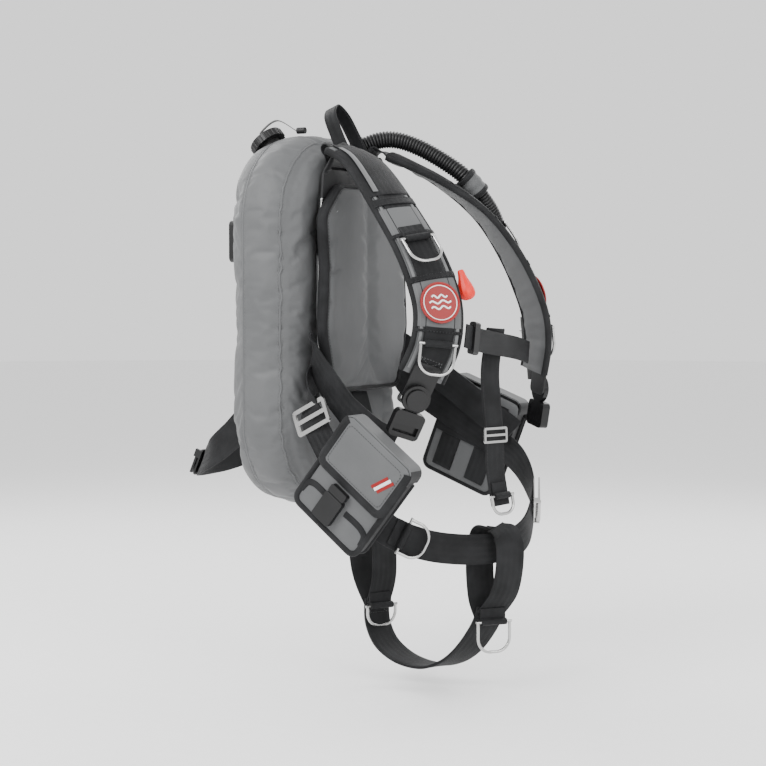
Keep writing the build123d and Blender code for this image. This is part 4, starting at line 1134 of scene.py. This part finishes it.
# %% A ribbed pear of red rubber
KNOB_TOP, KNOB_WAY = Vector((-0.103, -0.252, -0.002)), Vector((0.02, -0.3, -0.95)).normalized()
knob_across = KNOB_WAY.cross(Vector((0, -1, 0))).normalized()
knob_out = knob_across.cross(KNOB_WAY)
PEAR = [(0, 0.004), (2, 0.0052), (6, 0.0056), (12, 0.0064), (18, 0.0084), (26, 0.0112), (34, 0.0130),
        (40, 0.0132), (45, 0.0118), (48.5, 0.0085), (50, 0.004)]
rows = []
for reach, radius in PEAR:
    row = []
    for i in range(73):
        angle = 2 * pi * (i % 72) / 72
        rib = 1 + 0.055 * max(0.0, cos(12 * angle)) * (1 if 5 < reach < 47 else 0.2)
        outward = knob_across * cos(angle) + knob_out * sin(angle)
        row.append(KNOB_TOP + KNOB_WAY * reach * MM + outward * radius * rib)
    rows.append(row)
knob = skin("ribbed_pull_knob", rows)
close_up(knob)
modify(knob, "SUBSURF", levels=1, render_levels=1)
finished(knob, red_rubber, "red_rubber", "pull_knob", body="pull_knob", angle=60)

# %% [markdown]
# ## Straps
# Every strap follows its route from the frame. Seams that carry load get a sewn box.

# %% Belt, chest, centre and side straps, bands and handle
BAND_STEPS = 10


def whole(half):
    """A band's whole route from one half of it."""
    return half + [((-x, y, z), width) for (x, y, z), width in reversed(half)]


PLAIN_STRAPS = [("handle_loop", HANDLE, 0.025, 0.0, "carry_handle"),
                ("waist_webbing", WAIST, WEB, 0.0, "waist_belt"),
                ("chest_webbing", CHEST_STRAP, CHEST_WEB, 0.0, "chest_strap"),
                ("centre_webbing", CENTRE_STRAP, CHEST_WEB, WEB_T / 2 + 0.002, "centre_strap"),
                ("lower_band_webbing", whole(LOWER_BAND), WEB, 0.0, "lower_cylinder_band"),
                ("upper_band_webbing", whole(UPPER_BAND), WEB, 0.0, "upper_cylinder_band")]
strap_frames = {}
for name, route, width, lift, replaced in PLAIN_STRAPS:
    strap_frames[name] = smooth(route, BAND_STEPS)
    piece = strap(name, strap_frames[name], width, lift)
    finished(piece, webbing, "webbing", replaced)
    hem = width / 2 - 0.003
    edge_lines = strap_lines(strap_frames[name], (-hem, hem), lift + WEB_T / 2 + 0.0001)
    if name in ("handle_loop", "centre_webbing"):
        stitches(f"{name}_stitches", edge_lines)
sides_of_harness = [strap(f"{side}_side", smooth(SIDE_STRAP[side], BAND_STEPS), WEB) for side in SIDE_STRAP]
finished(joined("side_webbing", sides_of_harness), webbing, "webbing", "side_straps")

# %% The crotch strap: two legs behind, the sweep under, two legs in front
CROTCH = [("rear", CROTCH_REAR, WEB_T), ("inner", CROTCH_INNER, WEB_T), ("sweep", CROTCH_SWEEP, 2 * WEB_T),
          ("front_down", CROTCH_FRONT[:5], WEB_T), ("front_back", CROTCH_FRONT[4:], WEB_T)]
legs = [strap(f"crotch_{name}", smooth(route, BAND_STEPS), WEB, thickness=thick)
        for name, route, thick in CROTCH]
finished(joined("crotch_webbing", legs), webbing, "webbing", "crotch_strap")
sewn = []
for route, share in ((CROTCH_SWEEP, 0.06), (CROTCH_SWEEP, 0.93)):
    frames = smooth(route, BAND_STEPS)
    place, across, out, along = frames[int(share * (len(frames) - 1))]
    sewn += stitch_box(place, across, out, along, 0.020, 0.013, WEB_T + 0.0002)
for route in (SHOULDER["right"], SHOULDER["left"]):
    frames = smooth(route, BAND_STEPS)
    place, across, out, along = frames[-6]
    sewn += stitch_box(place, across, out, along, 0.018, 0.010, PAD_FACE + WEB_T + 0.0002)
stitches("load_seams", sewn, grey_thread)

# %% [markdown]
# ## Pockets
# A pocket is a soft box, open at the top, with taped edges, and a stiff flap over its mouth.

# %% A pocket's place and its soft box
def seat_matrix(origin, x_way, z_way):
    """The matrix that takes a flat drawing to a pocket's place."""
    x, z = Vector(x_way).normalized(), Vector(z_way).normalized()
    matrix = Matrix((x, z.cross(x), z)).transposed().to_4x4()
    matrix.translation = Vector(origin) * MM
    return matrix


POCKET_SEAT = {"right": seat_matrix((-212, -124, -344), (0, -0.785, -0.62), (-1, 0, 0)),
               "left": seat_matrix((199, -124, -292), (0, 0.93, 0.36), (1, 0, 0))}
POCKET_W, POCKET_H = 0.146, 0.176


def rounded_slab(name, width, height, radius, z_low, z_high, centre_y, crown, columns=14):
    """A slab with round corners whose outer face bulges by crown and thins towards its edge."""
    bpy.ops.object.select_all(action="DESELECT")
    bpy.ops.mesh.primitive_cube_add(size=1)
    slab = bpy.context.object
    slab.name = name
    bpy.ops.object.mode_set(mode="EDIT")
    bpy.ops.mesh.subdivide(number_cuts=columns)
    bpy.ops.object.mode_set(mode="OBJECT")
    for vertex in slab.data.vertices:
        u, v, w = vertex.co * 2
        x, y = u * width / 2, v * height / 2
        over_x, over_y = abs(x) - (width / 2 - radius), abs(y) - (height / 2 - radius)
        if over_x > 0 and over_y > 0:
            reach = max(over_x, over_y)
            length = (over_x**2 + over_y**2)**0.5
            x -= (1 if x > 0 else -1) * (over_x - over_x * reach / length)
            y -= (1 if y > 0 else -1) * (over_y - over_y * reach / length)
        fall = crown * (1 - (1 - u**4) * (1 - v**4))
        z = z_high - fall if w > 0 else z_low + fall * 0.4
        share = (w + 1) / 2
        z = (z_low + fall * 0.4) * (1 - share) + (z_high - fall) * share
        vertex.co = (x, y + centre_y, z)
    return slab


PATCH_POCKET_EDGE = [(69, -64), (66, -48), (56, -41), (40, -39), (18, -40)]


def is_mouth(face):
    """Whether a face closes the pouch's open top, away from its corners."""
    return face.normal.y > 0.8 and face.center.y > POCKET_H / 2 - 0.006 and abs(face.center.x) < 0.064


def opened(points):
    """Turn a line with a gap in it so that the gap lies between its last point and its first."""
    start = max(range(len(points)), key=lambda k: (points[k] - points[k - 1]).length)
    return points[start:] + points[:start]


def pouch_face(x, y):
    """How far the pouch's outer face stands out at a place on it."""
    u, v = x / (POCKET_W / 2), y / (POCKET_H / 2)
    return 0.0168 - 0.0045 * (1 - (1 - u**4) * (1 - v**4))


for side, seat in POCKET_SEAT.items():
    pouch = rounded_slab(f"{side}_soft_pouch", POCKET_W - 0.003, POCKET_H - 0.002, 0.014,
                         -0.0165, 0.0165, 0, 0.0045)
    select_faces(pouch, is_mouth)
    bpy.ops.mesh.delete(type="FACE")
    bpy.ops.object.mode_set(mode="OBJECT")
    modify(pouch, "SOLIDIFY", thickness=0.0026, offset=-1)
    modify(pouch, "SUBSURF", levels=1, render_levels=1)
    pouch.data.transform(seat)
    finished(pouch, grey_cloth, "pad_nylon", f"{side}_pocket_pouch", angle=50)
    pouch.data.materials.append(black_cloth)
    facing_out = seat.to_3x3() @ Vector((0, 0, 1))
    for face in pouch.data.polygons:
        face.material_index = 1 if abs(face.normal.dot(facing_out)) < 0.55 else 0
    arcs = []
    for hand in (-1, 1):
        bend = [((hand * x, y, pouch_face(x * MM, y * MM) / MM), (0, 0, 1)) for x, y in PATCH_POCKET_EDGE]
        arc = [(point, Vector((0, 0, 1)).cross(along).normalized(), Vector((0, 0, 1)), along)
               for point, across, out, along in smooth(bend, 6)]
        arcs.append(tube(f"{side}_arc", arc, 0.0054, 0.0018, sides=10))
    front_tape = joined(f"{side}_pouch_front_tape", arcs)
    front_tape.data.transform(seat)
    finished(front_tape, webbing, "webbing", angle=60)
    outline = rounded_outline(POCKET_W / 2 - 0.002, POCKET_H / 2 - 0.002, 0.014, 0, 0, 0.004)
    for level, z in (("front", 0.0125), ("back", -0.0140)):
        points = [Vector((x, y, z)) for x, y in outline if y < POCKET_H / 2 - 0.020]
        points = opened(points)
        half_width = 0.0050 if level == "front" else 0.0036
        edge = line_frames(points, Vector((0, 0, 1)))
        tape = tube(f"{side}_pouch_{level}_binding", edge, half_width, 0.0032, 10)
        tape.data.transform(seat)
        finished(tape, webbing, "webbing", angle=60)

# %% Webbing sewn on the wearer's side of each pouch
X_WAY, Y_WAY, Z_WAY = Vector((1, 0, 0)), Vector((0, 1, 0)), Vector((0, 0, 1))
for side, seat in POCKET_SEAT.items():
    patches = []
    for x in (-0.034, 0.034):
        line = [(Vector((x, y / 10 * 0.074, -0.0176)), X_WAY, -Z_WAY, Y_WAY) for y in range(-10, 11)]
        patches.append(strap(f"{side}_patch", line, WEB - 0.012, columns=4))
    line = [(Vector((x / 10 * 0.066, 0.012, -0.0200)), Y_WAY, -Z_WAY, X_WAY) for x in range(-10, 11)]
    patches.append(strap(f"{side}_patch", line, WEB, columns=4))
    runners = joined(f"{side}_pouch_runners", patches)
    runners.data.transform(seat)
    finished(runners, webbing, "webbing")

# %% Flaps, with thick tape on three sides and a plain striped patch
FLAP_TOP, FLAP_DROP, FLAP_WRAP = 0.093, 0.098, 0.024
FLAP_MIDDLE = FLAP_TOP - FLAP_DROP / 2
for side, seat in POCKET_SEAT.items():
    flap_body = f"{side}_pocket_flap"
    face = rounded_slab(f"{side}_flap_face", POCKET_W - 0.004, FLAP_DROP - 0.004, 0.012, 0.0178, 0.0210,
                        FLAP_MIDDLE, 0.0010)
    wrap = rounded_outline(POCKET_W / 2, FLAP_DROP / 2, 0.014, 0, FLAP_MIDDLE, 0.004)
    wrap = opened([Vector((x, y, 0)) for x, y in wrap if y > FLAP_TOP - FLAP_WRAP])
    top_rows = [[point + Vector((0, 0, -0.0150 + 0.0345 * k / 12)) for point in wrap] for k in range(13)]
    top = skin(f"{side}_flap_top", top_rows)
    modify(top, "SOLIDIFY", thickness=0.0026, offset=0)
    flap = joined(f"{side}_flap", [face, top])
    flap.data.transform(seat)
    finished(flap, grey_cloth, "pad_nylon", flap_body, body=flap_body, angle=50)
    flap.data.materials.append(black_cloth)
    from_seat = seat.inverted()
    for polygon in flap.data.polygons:
        place = from_seat @ polygon.center
        polygon.material_index = 1 if abs(place.x) > POCKET_W / 2 - 0.007 and place.z < 0.0185 else 0
    outline = rounded_outline(POCKET_W / 2 - 0.004, FLAP_DROP / 2 - 0.004, 0.012, 0, FLAP_MIDDLE, 0.004)
    points = [Vector((x, y, 0.0196)) for x, y in outline if y < FLAP_TOP - 0.007]
    points = opened(points)
    tape = tube(f"{side}_flap_binding", line_frames(points, Vector((0, 0, 1))), 0.0070, 0.0021, 10)
    tape.data.transform(seat)
    finished(tape, webbing, "webbing", body=flap_body, angle=60)
    turn = seat.to_3x3()
    inner = rounded_outline(POCKET_W / 2 - 0.013, FLAP_DROP / 2 - 0.013, 0.008, 0, FLAP_MIDDLE, 0.004)
    line = [(seat @ Vector((x, y, 0.0214)), turn @ Vector((0, 0, 1))) for x, y in inner + inner[:1]]
    stitches(f"{side}_flap_stitches", [line], black_thread, "pad_nylon", body=flap_body)
    hand = -1 if side == "left" else 1
    for number, (shift, ink) in enumerate(((0.0, red_badge), (0.0062, white_ink), (0.0124, red_badge))):
        band_points = [Vector((hand * (0.030 + shift + 0.014 * t / 8), 0.028 + 0.030 * t / 8, 0.0212))
                       for t in range(9)]
        slash = tube(f"{side}_flap_slash_{number + 1}", line_frames(band_points, Z_WAY), 0.0026, 0.0006, 8)
        slash.data.transform(seat)
        finished(slash, ink, "badge_vinyl", body=flap_body)

# %% [markdown]
# ## Cords and cuffs
# The dump valve's pull is a short string that stays fixed at both ends. A cloth cuff straps the
# hose to the left pad.

# %% The pull string of the dump valve
VALVE_SEAT, VALVE_AXIS = Vector((-0.062, 0.134, 0.210)), Vector((0, 0.65, 0.76))
valve_down = VALVE_AXIS.cross(Vector((1, 0, 0))).normalized()
string_points = [VALVE_SEAT + VALVE_AXIS * 0.0225, VALVE_SEAT + VALVE_AXIS * 0.033,
                 VALVE_SEAT + VALVE_AXIS * 0.026 - valve_down * 0.038, Vector((-0.056, 0.086, 0.236)),
                 Vector((-0.056, 0.076, 0.236))]
STRING_RADIUS = 0.0018
rows = []
for k in range(61):
    position = k / 60 * (len(string_points) - 1)
    index = min(int(position), len(string_points) - 2)
    t = position - index
    before = string_points[max(index - 1, 0)]
    after = string_points[min(index + 2, len(string_points) - 1)]
    a, b = string_points[index], string_points[index + 1]
    bend = 2 * before - 5 * a + 4 * b - after
    twist = 3 * a - before - 3 * b + after
    point = 0.5 * (2 * a + (b - before) * t + bend * t**2 + twist * t**3)
    row = []
    for i in range(11):
        angle = 2 * pi * (i % 10) / 10
        row.append(point + Vector((cos(angle), sin(angle) * 0.6, sin(angle) * 0.8)) * STRING_RADIUS)
    rows.append(row)
string = skin("valve_pull_string", rows)
close_up(string)
finished(string, grey_cord, "cord", "dump_pull_cord", angle=60)

# %% The cuff round the hose
CUFF_MIDDLE, CUFF_HALF = Vector((0.1455, -0.147, 0.1465)), 0.019
nearest = min(range(len(hose_line)), key=lambda k: (hose_line[k] - CUFF_MIDDLE).length)
cuff_at = sum((b - a).length for a, b in zip(hose_line[:nearest], hose_line[1:nearest + 1]))
cuff_line = along_line(hose_line, 0.002, cuff_at - CUFF_HALF, cuff_at + CUFF_HALF)
print("cuff", round(cuff_at, 3), "m along the hose")
cuff_frames = line_frames(cuff_line, Vector((1, -0.3, 0.2)).normalized())
rows = []
for k, (place, across, out, along) in enumerate(cuff_frames):
    radius = HOSE_D / 2 + 0.0032 + 0.0006 * sin(k * 0.9)
    rows.append([place + (across * cos(2 * pi * (i % 32) / 32) + out * sin(2 * pi * (i % 32) / 32)) * radius
                 for i in range(33)])
cuff = skin("hose_cuff", rows)
modify(cuff, "SOLIDIFY", thickness=0.0016, offset=0)
finished(cuff, grey_cloth, "pad_nylon", "hose_sleeve", angle=60)
for number, (place, across, out, along) in enumerate((cuff_frames[1], cuff_frames[-2])):
    ring_points = []
    for i in range(32):
        angle = 2 * pi * i / 32
        ring_points.append(place + (across * cos(angle) + out * sin(angle)) * (HOSE_D / 2 + 0.0042))
    ring = []
    for i, point in enumerate(ring_points):
        way = (ring_points[(i + 1) % 32] - ring_points[i - 1]).normalized()
        ring.append((point, along, (point - place).normalized(), way))
    elastic = tube(f"hose_cuff_elastic_{number + 1}", ring, 0.0045, 0.0015, 10, closed=True)
    finished(elastic, webbing, "webbing", angle=60)

# %% [markdown]
# ## The frame's size
# The frame's box, taken right after import, is printed again, so the visual model's size can be set against
# the frame's.

# %% Sizes, and finish
print("cad box", [round(v, 4) for v in (*cad_low, *cad_high)])
